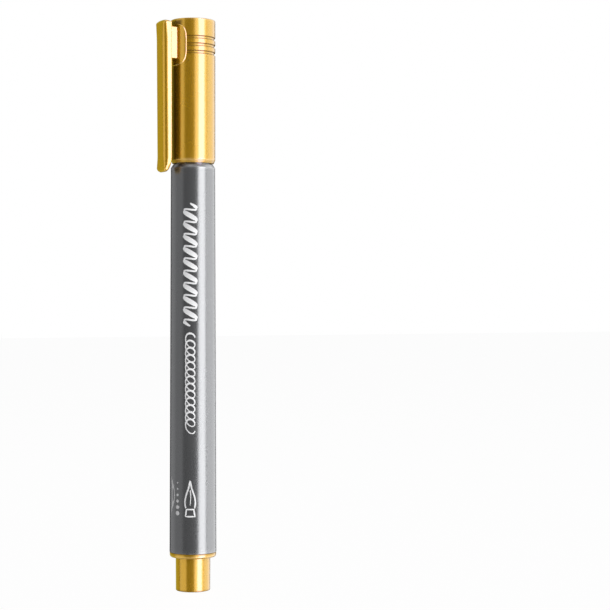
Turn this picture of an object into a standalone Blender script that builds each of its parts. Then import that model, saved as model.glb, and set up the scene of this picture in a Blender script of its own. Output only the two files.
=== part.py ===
"""Brush marker, capped and standing on its tail. Metres, +Z up, the pen's axis on Z, the clip towards -X."""

import math

import bmesh
import bpy
from mathutils import Matrix

# Driving dimensions, in metres.
OVERALL_LENGTH = 0.140
ROUND_STEPS = 72  # facets round every turned piece
TOUCH_GAP = 0.0003  # between faces that touch on the real marker
FIT_GAP = 0.0001  # round a piece that is pressed into another

# Tail plug, from the tail's flat end upwards.
STUB_RADIUS_END = 0.00420
STUB_RADIUS_TOP = 0.00424
STUB_EDGE_RADIUS = 0.00045
FLANGE_BOTTOM = 0.00820
FLANGE_TOP = 0.00930
FLANGE_RADIUS = 0.00569
FLANGE_EDGE_RADIUS = 0.0009
PLUG_WALL = 0.0011
PLUG_FLOOR = 0.0013
SPIGOT_TOP = 0.0155
SPIGOT_CHAMFER = 0.0005

# Barrel.
BARREL_BOTTOM = FLANGE_TOP + TOUCH_GAP
BARREL_TOP = 0.10455
BARREL_RADIUS_FRONT = 0.00543
BARREL_RADIUS_REAR = 0.00571
BARREL_RADIUS_FLARE = 0.00575
BARREL_FLARE_LENGTH = 0.0015
BARREL_CHAMFER = 0.00062
BARREL_BORE = 0.00445

# Front section, heights above the barrel's shoulder.
NECK_RADIUS = 0.004125
BEAD_START = 0.00064
BEAD_END = 0.0032
BEAD_RADIUS = 0.00425
BEAD_STEPS = 6  # rings over the bead
CYLINDER_RADIUS_LOW = 0.00407
CYLINDER_RADIUS_HIGH = 0.00403
CYLINDER_END = 0.01256
CONE_START_RADIUS = 0.00375
CONE_START = 0.0133
NOSE_RADIUS_LOW = 0.002485
NOSE_RADIUS_HIGH = 0.00245
NOSE_START = 0.0167
NOSE_END = 0.02066
NOSE_EDGE_RADIUS = 0.0003
SECTION_SPIGOT_LENGTH = 0.0085
SECTION_SPIGOT_WALL = 0.0005
SECTION_NECK_BORE = 0.0032
SECTION_BORE_STEP = 0.0011  # the spigot's wide bore ends this far below the shoulder
NECK_BORE_END = 0.0075
NECK_BORE_CONE = 0.0015
NIB_BORE_RADIUS = 0.00160

# Brush nib, heights above the nose's end.
NIB_SHANK_RADIUS = 0.00148
NIB_BASE_RADIUS = 0.00155
NIB_TIP_RADIUS = 0.00046
NIB_EXPOSED = 0.00644
NIB_TAPER_POWER = 1.75  # over 1 makes the nib's flanks belly outwards
NIB_RINGS = 9
NIB_SEAT = 0.0002  # the widest ring stands this far clear of the nose's end
NIB_CROWN = 0.00022  # height of the blunt tip's crown
NIB_SHANK_BOTTOM = 0.1045
NIB_SHANK_LEAD = (0.0006, 0.0008)  # the shank's lead-in: inwards, upwards

# Reservoir and its film. The rod's front end is squeezed into the section's neck.
RESERVOIR_RADIUS = 0.0035
RESERVOIR_NECK_RADIUS = SECTION_NECK_BORE - FIT_GAP
RESERVOIR_BOTTOM = SPIGOT_TOP + TOUCH_GAP
RESERVOIR_STEP = BARREL_TOP - 0.0014
RESERVOIR_STEP_CONE = 0.0003
RESERVOIR_TOP = 0.1112
RESERVOIR_SOCKET_DEPTH = 0.0070
WRAP_THICKNESS = 0.0002
WRAP_TOP = RESERVOIR_STEP - 0.0015
WRAP_BOTTOM = RESERVOIR_BOTTOM + 0.0015

# Cap.
CAP_LENGTH = 0.03515
CAP_RADIUS = 0.005475
CAP_BORE = 0.00434
CAP_ROOF = 0.0012
CAP_TOP_EDGE_RADIUS = 0.0006
CAP_RIM_EDGE_RADIUS = 0.00045
CAP_MOUTH = (0.0002, 0.0003)  # the bore's lead-in: outwards, upwards
CAP_TOP = OVERALL_LENGTH
CAP_RIM = OVERALL_LENGTH - CAP_LENGTH
GROOVE_DEPTHS_BELOW_TOP = (0.00466, 0.00647, 0.00828)
GROOVE_WIDTH = 0.00075
GROOVE_DEPTH = 0.00022

# Inner cap.
SEAL_RADIUS = 0.00400
SEAL_BORE = 0.00300
SEAL_ROOF = 0.0008
SEAL_MOUTH = 0.1193
SEAL_MOUTH_RADIUS = 0.0035
SEAL_MOUTH_LEAD = 0.0006

# Pad, bridge and clip.
PAD_CENTRE_BELOW_TOP = 0.0064
PAD_HALF_HEIGHT = 0.0051
PAD_HALF_WIDTH = 0.00413
PAD_SQUARENESS = 3.0
PAD_PROUD = 0.00018
PAD_STEPS = 40
ROOT_DEPTH = 0.0006  # how far the pad and the bridge run into the cap, and the bridge into the clip
BRIDGE_WIDTH = 0.0037
BRIDGE_TOP = CAP_TOP - 0.0018
BRIDGE_BOTTOM = CAP_TOP - 0.00984
BRIDGE_SPLIT = 0.0063  # distance of the split's cap side from the axis
CLIP_INNER = 0.00715
CLIP_OUTER = 0.0092
CLIP_TAPER = 0.00025  # the outer face comes in by this much towards the tip
CLIP_WIDTH = 0.0050
CLIP_TOP = CAP_TOP - 0.00015
CLIP_TIP = 0.1026
CLIP_TIP_RADIUS = 0.00045
CLIP_RAMP_HEIGHT = 0.0031  # the inner face leads in to the tip over this height
CLIP_RAMP_POWER = 1.75
CLIP_TOP_RADIUS = 0.0010
CLIP_EDGE_RADIUS = 0.00105
CLIP_CROWN = 0.0006  # the top is this much lower at the clip's sides
CLIP_TIP_CORNER = 0.0014  # corner radius at the tip, seen from the front
CLIP_MARGIN = 0.001  # by which the shaping prisms overshoot the clip

# Colours.
GOLD = (0.46, 0.26, 0.02)
GREY = (0.16, 0.162, 0.168)
INKED_FIBRE = (0.42, 0.26, 0.05)
RESERVOIR_FIBRE = (0.62, 0.50, 0.22)
FILM = (0.80, 0.82, 0.84)
SOFT_WHITE = (0.80, 0.79, 0.75)


def clear_scene():
    for obj in list(bpy.data.objects):
        bpy.data.objects.remove(obj, do_unlink=True)


def make_material(name, colour, metallic, roughness):
    material = bpy.data.materials.new(name)
    material.use_nodes = True
    shader = material.node_tree.nodes["Principled BSDF"]
    shader.inputs["Base Color"].default_value = (*colour, 1.0)
    shader.inputs["Metallic"].default_value = metallic
    shader.inputs["Roughness"].default_value = roughness
    return material


def arc(centre_r, centre_z, radius, start_deg, end_deg, steps):
    """Points (r, z) on an arc; 0 degrees points outwards and 90 degrees upwards."""
    points = []
    for step in range(steps + 1):
        angle = math.radians(start_deg + (end_deg - start_deg) * step / steps)
        points.append((centre_r + radius * math.cos(angle), centre_z + radius * math.sin(angle)))
    return points


def turned(name, outline, material):
    """A solid of revolution from a closed outline of (r, z) points, taken outer side first, top to bottom.

    Points with r = 0 lie on the axis, where the outline closes by itself."""
    mesh = bmesh.new()
    rings = []
    for radius, height in outline:
        if radius == 0:
            rings.append([mesh.verts.new((0, 0, height))])
            continue
        ring = []
        for step in range(ROUND_STEPS):
            angle = 2 * math.pi * step / ROUND_STEPS
            ring.append(mesh.verts.new((radius * math.cos(angle), radius * math.sin(angle), height)))
        rings.append(ring)
    on_axis = outline[0][0] == 0 and outline[-1][0] == 0
    pairs = list(zip(rings, rings[1:]))
    if not on_axis:
        pairs.append((rings[-1], rings[0]))
    for upper, lower in pairs:
        for step in range(ROUND_STEPS):
            after = (step + 1) % ROUND_STEPS
            if len(upper) == 1:
                mesh.faces.new((upper[0], lower[step], lower[after]))
            elif len(lower) == 1:
                mesh.faces.new((upper[step], lower[0], upper[after]))
            else:
                mesh.faces.new((upper[step], lower[step], lower[after], upper[after]))
    return finish(name, mesh, material)


def finish(name, mesh, material):
    """Turns a bmesh into a named object with outward normals and smooth round faces."""
    bmesh.ops.recalc_face_normals(mesh, faces=mesh.faces)
    data = bpy.data.meshes.new(name)
    mesh.to_mesh(data)
    mesh.free()
    obj = bpy.data.objects.new(name, data)
    bpy.context.scene.collection.objects.link(obj)
    if material:
        data.materials.append(material)
    data.shade_smooth()
    data.set_sharp_from_angle(angle=math.radians(35))
    return obj


def prism_y(name, outline, width, material=None):
    """A prism along Y, centred on the XZ plane, from a closed outline of (x, z) points."""
    mesh = bmesh.new()
    near = [mesh.verts.new((x, -width / 2, z)) for x, z in outline]
    mesh.faces.new(near)
    bmesh.ops.recalc_face_normals(mesh, faces=mesh.faces)
    extruded = bmesh.ops.extrude_face_region(mesh, geom=list(mesh.faces))
    moved = [item for item in extruded["geom"] if isinstance(item, bmesh.types.BMVert)]
    bmesh.ops.translate(mesh, verts=moved, vec=(0, width, 0))
    return finish(name, mesh, material)


def prism_x(name, outline, x_from, x_to):
    """A prism along X from a closed outline of (y, z) points."""
    mesh = bmesh.new()
    mesh.faces.new([mesh.verts.new((x_from, y, z)) for y, z in outline])
    extruded = bmesh.ops.extrude_face_region(mesh, geom=list(mesh.faces))
    moved = [item for item in extruded["geom"] if isinstance(item, bmesh.types.BMVert)]
    bmesh.ops.translate(mesh, verts=moved, vec=(x_to - x_from, 0, 0))
    return finish(name, mesh, None)


def box(name, x_range, y_range, z_range):
    mesh = bmesh.new()
    bmesh.ops.create_cube(mesh, size=1.0)
    middle = [(low + high) / 2 for low, high in (x_range, y_range, z_range)]
    size = [high - low for low, high in (x_range, y_range, z_range)]
    placed = Matrix.Translation(middle) @ Matrix.Diagonal((*size, 1))
    bmesh.ops.transform(mesh, matrix=placed, verts=mesh.verts)
    return finish(name, mesh, None)


def as_helper(obj):
    obj.hide_render = True
    obj.display_type = "WIRE"
    return obj


def add_boolean(obj, other, operation):
    modifier = obj.modifiers.new(operation.lower() + "_" + other.name, "BOOLEAN")
    modifier.operation = operation
    modifier.solver = "EXACT"
    modifier.object = as_helper(other)


def build_barrel(material):
    flare_top = BARREL_BOTTOM + BARREL_FLARE_LENGTH
    outline = [
        (BARREL_RADIUS_FRONT - BARREL_CHAMFER, BARREL_TOP),
        *arc(BARREL_RADIUS_FRONT - BARREL_CHAMFER, BARREL_TOP - BARREL_CHAMFER, BARREL_CHAMFER, 70, 0, 4),
        (BARREL_RADIUS_REAR, flare_top),
        (BARREL_RADIUS_FLARE, BARREL_BOTTOM),
        (BARREL_BORE, BARREL_BOTTOM),
        (BARREL_BORE, BARREL_TOP),
    ]
    return turned("barrel", outline, material)


def build_front_section(material):
    cone_radius = cone_arc_radius()
    cone_centre = NOSE_RADIUS_LOW + cone_radius
    sweep = math.degrees(math.asin((NOSE_START - CONE_START) / cone_radius))
    spigot = BARREL_BORE - FIT_GAP
    spigot_bottom = BARREL_TOP - SECTION_SPIGOT_LENGTH
    spigot_bore = spigot - SECTION_SPIGOT_WALL
    bore_step = BARREL_TOP - SECTION_BORE_STEP
    neck_bore_end = BARREL_TOP + NECK_BORE_END
    nose_top = BARREL_TOP + NOSE_END
    outline = [
        *arc(NOSE_RADIUS_HIGH - NOSE_EDGE_RADIUS, nose_top - NOSE_EDGE_RADIUS, NOSE_EDGE_RADIUS, 90, 0, 4),
        *arc(cone_centre, BARREL_TOP + NOSE_START, cone_radius, 180, 180 + sweep, 8),
        (CYLINDER_RADIUS_HIGH, BARREL_TOP + CYLINDER_END),
        (CYLINDER_RADIUS_LOW, BARREL_TOP + BEAD_END + FIT_GAP),
        *bead_points(),
        (NECK_RADIUS, BARREL_TOP - TOUCH_GAP),
        (spigot, BARREL_TOP - 2 * TOUCH_GAP),
        (spigot, spigot_bottom),
        (spigot_bore, spigot_bottom),
        (spigot_bore, bore_step),
        (SECTION_NECK_BORE, bore_step),
        (SECTION_NECK_BORE, neck_bore_end),
        (NIB_BORE_RADIUS, neck_bore_end + NECK_BORE_CONE),
        (NIB_BORE_RADIUS, nose_top),
    ]
    return turned("front_section", outline, material)


def bead_points():
    """The snap bead's half wave, from its upper end to the neck."""
    points = []
    for step in range(BEAD_STEPS + 1):
        share = step / BEAD_STEPS
        radius = NECK_RADIUS + (BEAD_RADIUS - NECK_RADIUS) * math.sin(math.pi * share)
        points.append((radius, BARREL_TOP + BEAD_END + (BEAD_START - BEAD_END) * share))
    return points


def cone_arc_radius():
    """Radius of the concave arc that meets the nose upright and starts at the cone's first radius."""
    rise = NOSE_START - CONE_START
    inset = CONE_START_RADIUS - NOSE_RADIUS_LOW
    return (rise * rise + inset * inset) / (2 * inset)


def build_brush_nib(material):
    nose_top = BARREL_TOP + NOSE_END
    tip = nose_top + NIB_EXPOSED
    lead_in, lead_up = NIB_SHANK_LEAD
    profile = []
    for ring in range(NIB_RINGS + 1):
        share = ring / NIB_RINGS  # 0 at the tip, 1 at the base
        radius = NIB_TIP_RADIUS + (NIB_BASE_RADIUS - NIB_TIP_RADIUS) * (1 - (1 - share) ** NIB_TAPER_POWER)
        profile.append((radius, tip + (nose_top + NIB_SEAT - tip) * share))
    outline = [
        (0, tip + NIB_CROWN),
        (NIB_TIP_RADIUS * 2 / 3, tip + NIB_CROWN * 2 / 3),
        *profile,
        (NIB_SHANK_RADIUS, nose_top - NIB_SEAT),
        (NIB_SHANK_RADIUS, NIB_SHANK_BOTTOM + lead_up),
        (NIB_SHANK_RADIUS - lead_in, NIB_SHANK_BOTTOM),
        (0, NIB_SHANK_BOTTOM),
    ]
    return turned("brush_nib", outline, material)


def build_ink_reservoir(material):
    socket = NIB_SHANK_RADIUS + FIT_GAP
    socket_floor = RESERVOIR_TOP - RESERVOIR_SOCKET_DEPTH
    outline = [
        (socket, RESERVOIR_TOP),
        (RESERVOIR_NECK_RADIUS, RESERVOIR_TOP),
        (RESERVOIR_NECK_RADIUS, RESERVOIR_STEP + RESERVOIR_STEP_CONE),
        (RESERVOIR_RADIUS, RESERVOIR_STEP),
        (RESERVOIR_RADIUS, RESERVOIR_BOTTOM),
        (0, RESERVOIR_BOTTOM),
        (0, socket_floor),
        (socket, socket_floor),
    ]
    return turned_open("ink_reservoir", outline, material)


def turned_open(name, outline, material):
    """As turned, for an outline that touches the axis in its middle: it starts after the axis run."""
    first = next(i for i, point in enumerate(outline) if point[0] == 0 and outline[i - 1][0] == 0)
    return turned(name, outline[first:] + outline[:first], material)


def build_reservoir_wrap(material):
    inner = RESERVOIR_RADIUS + FIT_GAP / 2
    outer = inner + WRAP_THICKNESS
    outline = [(outer, WRAP_TOP), (outer, WRAP_BOTTOM), (inner, WRAP_BOTTOM), (inner, WRAP_TOP)]
    return turned("reservoir_wrap", outline, material)


def build_tail_plug(material):
    bore = STUB_RADIUS_END - PLUG_WALL
    spigot = BARREL_BORE - FIT_GAP
    outline = [
        (spigot - SPIGOT_CHAMFER, SPIGOT_TOP),
        (spigot, SPIGOT_TOP - SPIGOT_CHAMFER),
        (spigot, FLANGE_TOP),
        (FLANGE_RADIUS, FLANGE_TOP),
        *arc(
            FLANGE_RADIUS - FLANGE_EDGE_RADIUS,
            FLANGE_BOTTOM + FLANGE_EDGE_RADIUS,
            FLANGE_EDGE_RADIUS,
            0,
            -80,
            6,
        ),
        (STUB_RADIUS_TOP, FLANGE_BOTTOM),
        *arc(STUB_RADIUS_END - STUB_EDGE_RADIUS, STUB_EDGE_RADIUS, STUB_EDGE_RADIUS, 0, -90, 5),
        (0, 0),
        (0, PLUG_FLOOR),
        (bore, PLUG_FLOOR),
        (bore, SPIGOT_TOP),
    ]
    return turned_open("tail_plug", outline, material)


def groove_points(below_top):
    """One round-bottomed groove in the cap's outline, top to bottom."""
    half = GROOVE_WIDTH / 2
    middle = CAP_TOP - below_top
    points = []
    steps = 6
    for step in range(steps + 1):
        turn = math.pi * step / steps
        depth = GROOVE_DEPTH * math.sin(turn)
        points.append((CAP_RADIUS - depth, middle + half * math.cos(turn)))
    return points


def build_cap_shell(material):
    lip = CAP_RIM_EDGE_RADIUS
    mouth_out, mouth_up = CAP_MOUTH
    outline = [
        (0, CAP_TOP),
        *arc(CAP_RADIUS - CAP_TOP_EDGE_RADIUS, CAP_TOP - CAP_TOP_EDGE_RADIUS, CAP_TOP_EDGE_RADIUS, 90, 0, 6),
    ]
    for below_top in GROOVE_DEPTHS_BELOW_TOP:
        outline += groove_points(below_top)
    outline += [
        *arc(CAP_RADIUS - lip, CAP_RIM + lip, lip, 0, -90, 5),
        (CAP_BORE + mouth_out, CAP_RIM),
        (CAP_BORE, CAP_RIM + mouth_up),
        (CAP_BORE, CAP_TOP - CAP_ROOF),
        (0, CAP_TOP - CAP_ROOF),
    ]
    cap = turned("cap_shell", outline, material)
    add_boolean(cap, build_pad(), "UNION")
    half = BRIDGE_WIDTH / 2
    x_range = (-BRIDGE_SPLIT, -CAP_RADIUS + ROOT_DEPTH)
    bridge = box("bridge_root", x_range, (-half, half), (BRIDGE_BOTTOM, BRIDGE_TOP))
    add_boolean(cap, bridge, "UNION")
    return cap


def build_pad():
    """The D-shaped pad: a superellipse pushed through a shell that stands proud of the cap."""
    outer = CAP_RADIUS + PAD_PROUD
    inner = CAP_RADIUS - ROOT_DEPTH
    middle = CAP_TOP - PAD_CENTRE_BELOW_TOP
    reach = PAD_HALF_HEIGHT + TOUCH_GAP
    shell_outline = [
        (outer, middle + reach),
        (outer, middle - reach),
        (inner, middle - reach),
        (inner, middle + reach),
    ]
    pad = turned("pad", shell_outline, None)
    corners = []
    for step in range(PAD_STEPS):
        angle = 2 * math.pi * (step + 0.5) / PAD_STEPS
        power = 2 / PAD_SQUARENESS
        y = math.copysign(abs(math.cos(angle)) ** power, math.cos(angle)) * PAD_HALF_WIDTH
        z = math.copysign(abs(math.sin(angle)) ** power, math.sin(angle)) * PAD_HALF_HEIGHT
        corners.append((y, middle + z))
    add_boolean(pad, prism_x("pad_outline", corners, -CLIP_INNER, 0), "INTERSECT")
    return pad


def build_inner_cap(material):
    top = CAP_TOP - CAP_ROOF - TOUCH_GAP
    outline = [
        (0, top),
        (SEAL_RADIUS, top),
        (SEAL_RADIUS, SEAL_MOUTH + SEAL_MOUTH_LEAD),
        (SEAL_MOUTH_RADIUS, SEAL_MOUTH),
        (SEAL_BORE, SEAL_MOUTH),
        (SEAL_BORE, top - SEAL_ROOF),
        (0, top - SEAL_ROOF),
    ]
    return turned("inner_cap", outline, material)


def build_clip(material):
    """The arm with its half of the bridge. Its inner face leads in to the tip on a curve."""
    tip_centre = CLIP_OUTER - CLIP_TAPER - CLIP_TIP_RADIUS
    ramp = []
    ramp_steps = 8
    for step in range(1, ramp_steps + 1):
        share = step / ramp_steps
        radius = CLIP_INNER + (tip_centre - CLIP_INNER) * (1 - share) ** CLIP_RAMP_POWER
        ramp.append((radius, CLIP_TIP + CLIP_RAMP_HEIGHT * share))
    side = [
        (CLIP_INNER, CLIP_TOP),
        *arc(CLIP_OUTER - CLIP_TOP_RADIUS, CLIP_TOP - CLIP_TOP_RADIUS, CLIP_TOP_RADIUS, 90, 0, 6),
        *arc(tip_centre, CLIP_TIP + CLIP_TIP_RADIUS, CLIP_TIP_RADIUS, 0, -90, 4),
        *ramp,
    ]
    clip = prism_y("clip", [(-r, z) for r, z in side], CLIP_WIDTH, material)
    add_boolean(clip, build_clip_section(), "INTERSECT")
    add_boolean(clip, build_clip_front(), "INTERSECT")
    half = BRIDGE_WIDTH / 2
    x_range = (-CLIP_INNER - ROOT_DEPTH, -BRIDGE_SPLIT - TOUCH_GAP)
    add_boolean(clip, box("bridge_end", x_range, (-half, half), (BRIDGE_BOTTOM, BRIDGE_TOP)), "UNION")
    return clip


def build_clip_section():
    """A tall prism with the arm's cross-section: its outer long edges are well rounded."""
    half = CLIP_WIDTH / 2
    corner = half - CLIP_EDGE_RADIUS
    outer = CLIP_OUTER - CLIP_EDGE_RADIUS
    section = [(CLIP_INNER - CLIP_MARGIN, half), *arc(outer, corner, CLIP_EDGE_RADIUS, 90, 0, 7)]
    section += [(r, -y) for r, y in reversed(section)]
    mesh = bmesh.new()
    mesh.faces.new([mesh.verts.new((-r, y, CLIP_TIP - CLIP_MARGIN)) for r, y in section])
    extruded = bmesh.ops.extrude_face_region(mesh, geom=list(mesh.faces))
    moved = [item for item in extruded["geom"] if isinstance(item, bmesh.types.BMVert)]
    bmesh.ops.translate(mesh, verts=moved, vec=(0, 0, CLIP_TOP - CLIP_TIP + 2 * CLIP_MARGIN))
    return finish("clip_section", mesh, None)


def build_clip_front():
    """A prism with the arm's shape as seen from the front: crowned top, round-cornered tip."""
    half = CLIP_WIDTH / 2
    side = half + CLIP_MARGIN
    crown_steps = 12
    outline = []
    for step in range(crown_steps + 1):
        share = 2 * step / crown_steps - 1
        drop = CLIP_CROWN * (share * side / half) ** 2
        outline.append((share * side, CLIP_TOP - drop))
    corner = CLIP_TIP_CORNER
    outline += [(side, CLIP_TIP + corner), *arc(half - corner, CLIP_TIP + corner, corner, 0, -90, 6)]
    outline += [*arc(corner - half, CLIP_TIP + corner, corner, -90, -180, 6), (-side, CLIP_TIP + corner)]
    return prism_x("clip_front", outline, -CLIP_OUTER - CLIP_MARGIN, -CLIP_INNER + CLIP_MARGIN)


def move_origin(obj, x, y, z):
    """Moves the object's origin there and leaves its shape where it is."""
    obj.data.transform(Matrix.Translation((-x, -y, -z)))
    obj.location = (x, y, z)


def main():
    clear_scene()
    gold = make_material("gold_metallic_plastic", GOLD, 0.85, 0.32)
    grey = make_material("grey_metallic_plastic", GREY, 0.75, 0.34)
    inked_fibre = make_material("inked_fibre", INKED_FIBRE, 0.5, 0.7)
    reservoir_fibre = make_material("reservoir_fibre", RESERVOIR_FIBRE, 0.0, 0.95)
    film = make_material("clear_film", FILM, 0.0, 0.25)
    soft_white = make_material("soft_white_plastic", SOFT_WHITE, 0.0, 0.5)
    build_tail_plug(gold)
    build_barrel(grey)
    build_front_section(grey)
    build_brush_nib(inked_fibre)
    build_ink_reservoir(reservoir_fibre)
    build_reservoir_wrap(film)
    build_inner_cap(soft_white)
    build_cap_shell(gold)
    clip = build_clip(gold)
    move_origin(clip, -BRIDGE_SPLIT, 0, (BRIDGE_TOP + BRIDGE_BOTTOM) / 2)


main()
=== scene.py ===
import math

import bmesh
import bpy
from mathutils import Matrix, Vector


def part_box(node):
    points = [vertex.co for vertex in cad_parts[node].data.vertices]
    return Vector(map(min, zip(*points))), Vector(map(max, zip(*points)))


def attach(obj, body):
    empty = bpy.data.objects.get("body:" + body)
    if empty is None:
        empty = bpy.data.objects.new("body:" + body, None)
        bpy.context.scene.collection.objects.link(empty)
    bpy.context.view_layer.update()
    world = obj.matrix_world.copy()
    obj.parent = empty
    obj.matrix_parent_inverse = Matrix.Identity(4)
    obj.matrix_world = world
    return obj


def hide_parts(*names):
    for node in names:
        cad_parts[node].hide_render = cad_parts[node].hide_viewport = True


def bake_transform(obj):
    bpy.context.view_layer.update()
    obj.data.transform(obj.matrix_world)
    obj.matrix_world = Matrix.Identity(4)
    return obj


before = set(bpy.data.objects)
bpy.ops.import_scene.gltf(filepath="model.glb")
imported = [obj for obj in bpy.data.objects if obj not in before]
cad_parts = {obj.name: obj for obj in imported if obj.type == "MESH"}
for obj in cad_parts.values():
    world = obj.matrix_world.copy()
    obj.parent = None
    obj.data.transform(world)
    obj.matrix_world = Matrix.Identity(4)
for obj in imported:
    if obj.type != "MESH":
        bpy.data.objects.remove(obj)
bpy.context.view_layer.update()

mm = 0.001  # every size below is written in millimetres times this
meshLook = {
    "roundSteps": 144, "smallSteps": 96,  # facets round a turned piece, and round the nib and inner pieces
    "spine": 2 * mm,  # radius of the circle that carries an outline round the axis
    "merge": 0.0005 * mm, "sliver": 0.0002 * mm, "crease": math.radians(32),
    "nearRows": (0.06 * mm, 0.3 * mm, 0.6 * mm),  # extra rows lie this far from each corner
    "rowRoom": 5,  # such a row needs a run this many times as long as its distance
    "longestRow": 3.0 * mm,
}
print("frame loaded:", sorted(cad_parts))


def between(first, last, share):
    return first + (last - first) * share


def linked(item):
    # puts a new object into the scene
    bpy.context.scene.collection.objects.link(item)
    return item


# node helpers
def addNode(tree, kind, settings=None, **values):
    # a node with its settings and its inputs' values; a value may also be another node's output
    node = tree.nodes.new(kind)
    for key, value in (settings or {}).items():
        setattr(node, key, value)
    for key, value in values.items():
        feed(tree, node.inputs[socketName(node, key)], value)
    return node


def socketName(node, key):
    # "coatRoughness" finds the socket "Coat Roughness"
    wanted = key.lower()
    for place, socket in enumerate(node.inputs):
        if socket.enabled and socket.name.replace(" ", "").lower() == wanted:
            return place
    raise KeyError(node.bl_idname + " has no input " + key)


def feed(tree, socket, value):
    if isinstance(value, bpy.types.NodeSocket):
        tree.links.new(value, socket)
    elif isinstance(value, bpy.types.Node):
        tree.links.new(value.outputs[0], socket)
    else:
        socket.default_value = value


def maths(tree, operation, *terms):
    # one Math node; each term is a number or a socket
    node = tree.nodes.new("ShaderNodeMath")
    node.operation = operation
    for place, term in enumerate(terms):
        feed(tree, node.inputs[place], term)
    return node.outputs[0]


def newTree(name, inputs):
    # a Geometry Nodes tree with its named inputs; gives the tree, its group input and its identifiers
    tree = bpy.data.node_groups.new(name, "GeometryNodeTree")
    tree.interface.new_socket("Geometry", in_out="INPUT", socket_type="NodeSocketGeometry")
    identifiers = {}
    for label, kind, value in inputs:
        socket = tree.interface.new_socket(label, in_out="INPUT", socket_type="NodeSocket" + kind)
        if value is not None:
            socket.default_value = value
        identifiers[label] = socket.identifier
    tree.interface.new_socket("Geometry", in_out="OUTPUT", socket_type="NodeSocketGeometry")
    return tree, tree.nodes.new("NodeGroupInput"), identifiers


def endTree(tree, geometry, material):
    # Realize Instances and Set Material close every tree
    real = addNode(tree, "GeometryNodeRealizeInstances", geometry=geometry)
    painted = addNode(tree, "GeometryNodeSetMaterial", geometry=real, material=material)
    out = tree.nodes.new("NodeGroupOutput")
    tree.links.new(painted.outputs[0], out.inputs[0])


def grow(name, startMesh, tree, identifiers, values):
    # runs a tree on a starting mesh and keeps the result as a plain mesh object
    seedObject = linked(bpy.data.objects.new(name + "Seed", startMesh))
    modifier = seedObject.modifiers.new("shape", "NODES")
    modifier.node_group = tree
    for label, value in values.items():
        modifier[identifiers[label]] = value
    graph = bpy.context.evaluated_depsgraph_get()
    mesh = bpy.data.meshes.new_from_object(seedObject.evaluated_get(graph), depsgraph=graph)
    bpy.data.objects.remove(seedObject)
    mesh.name = name
    return settle(linked(bpy.data.objects.new(name, mesh)))


def settle(piece):
    # merges doubles, points the faces outwards and smooths all but the real edges
    work = bmesh.new()
    work.from_mesh(piece.data)
    bmesh.ops.remove_doubles(work, verts=work.verts, dist=meshLook["merge"])
    bmesh.ops.dissolve_degenerate(work, edges=work.edges, dist=meshLook["sliver"])
    bmesh.ops.recalc_face_normals(work, faces=work.faces)
    work.to_mesh(piece.data)
    work.free()
    piece.data.shade_smooth()
    piece.data.set_sharp_from_angle(angle=meshLook["crease"])
    return piece


def meshObject(name, work, material):
    # turns a bmesh into an object
    mesh = bpy.data.meshes.new(name)
    work.to_mesh(mesh)
    work.free()
    mesh.materials.append(material)
    return linked(bpy.data.objects.new(name, mesh))


def skin(work, loops):
    # faces from each closed loop of points to the next
    for near, far in zip(loops, loops[1:]):
        for place in range(len(near)):
            after = (place + 1) % len(near)
            work.faces.new((near[place], near[after], far[after], far[place]))


# turning
def makeTurningTree():
    # sweeps an outline round the marker's axis; outline points are (radius - spine, -height)
    tree, given, identifiers = newTree("turning", [
        ("Steps", "Int", meshLook["roundSteps"]), ("Spine radius", "Float", meshLook["spine"]),
        ("Material", "Material", None)])
    outline = addNode(tree, "GeometryNodeMeshToCurve", mesh=given.outputs["Geometry"])
    spine = addNode(tree, "GeometryNodeCurvePrimitiveCircle", resolution=given.outputs["Steps"],
                    radius=given.outputs["Spine radius"])
    upright = addNode(tree, "GeometryNodeSetCurveNormal", {"mode": "Z_UP"}, curve=spine)
    swept = addNode(tree, "GeometryNodeCurveToMesh", curve=upright, profilecurve=outline)
    merged = addNode(tree, "GeometryNodeMergeByDistance", geometry=swept, distance=meshLook["merge"])
    endTree(tree, merged, given.outputs["Material"])
    return tree, identifiers


turningTree, turningInputs = makeTurningTree()


def arcPoints(centreR, centreZ, radius, start, end, steps):
    # points (r, z) on an arc; 0 degrees points outwards and 90 upwards
    points = []
    for step in range(steps + 1):
        angle = math.radians(between(start, end, step / steps))
        points.append((centreR + radius * math.cos(angle), centreZ + radius * math.sin(angle)))
    return points


def withRows(outline, closed):
    # adds rows beside every corner and along long runs, so that the shading and the wear stay true
    rows = []
    count = len(outline)
    for place, (r, z) in enumerate(outline):
        rows.append((r, z))
        if place == count - 1 and not closed:
            break
        nextR, nextZ = outline[(place + 1) % count]
        length = math.hypot(nextR - r, nextZ - z)
        ends = [near for near in meshLook["nearRows"] if length > meshLook["rowRoom"] * near]
        if not ends or (r == 0 and nextR == 0):
            continue
        free = length - 2 * ends[-1]
        cuts = math.ceil(free / meshLook["longestRow"])
        runs = ends[:-1] + [ends[-1] + free * cut / cuts for cut in range(cuts + 1)]
        runs += [length - near for near in reversed(ends[:-1])]
        rows += [(between(r, nextR, run / length), between(z, nextZ, run / length)) for run in runs]
    return rows


def turnedPiece(name, outline, material, steps=meshLook["roundSteps"]):
    # a solid of revolution from (r, z) points; an outline that starts and ends on the axis stays open
    spine = meshLook["spine"]
    closed = not (outline[0][0] == 0 and outline[-1][0] == 0)
    rows = withRows(outline, closed)
    edges = [(i, i + 1) for i in range(len(rows) - 1)]
    if closed:
        edges.append((len(rows) - 1, 0))
    wire = bpy.data.meshes.new(name + "Outline")
    wire.from_pydata([(r - spine, -z, 0) for r, z in rows], edges, [])
    return grow(name, wire, turningTree, turningInputs,
                {"Steps": steps, "Spine radius": spine, "Material": material})


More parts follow.
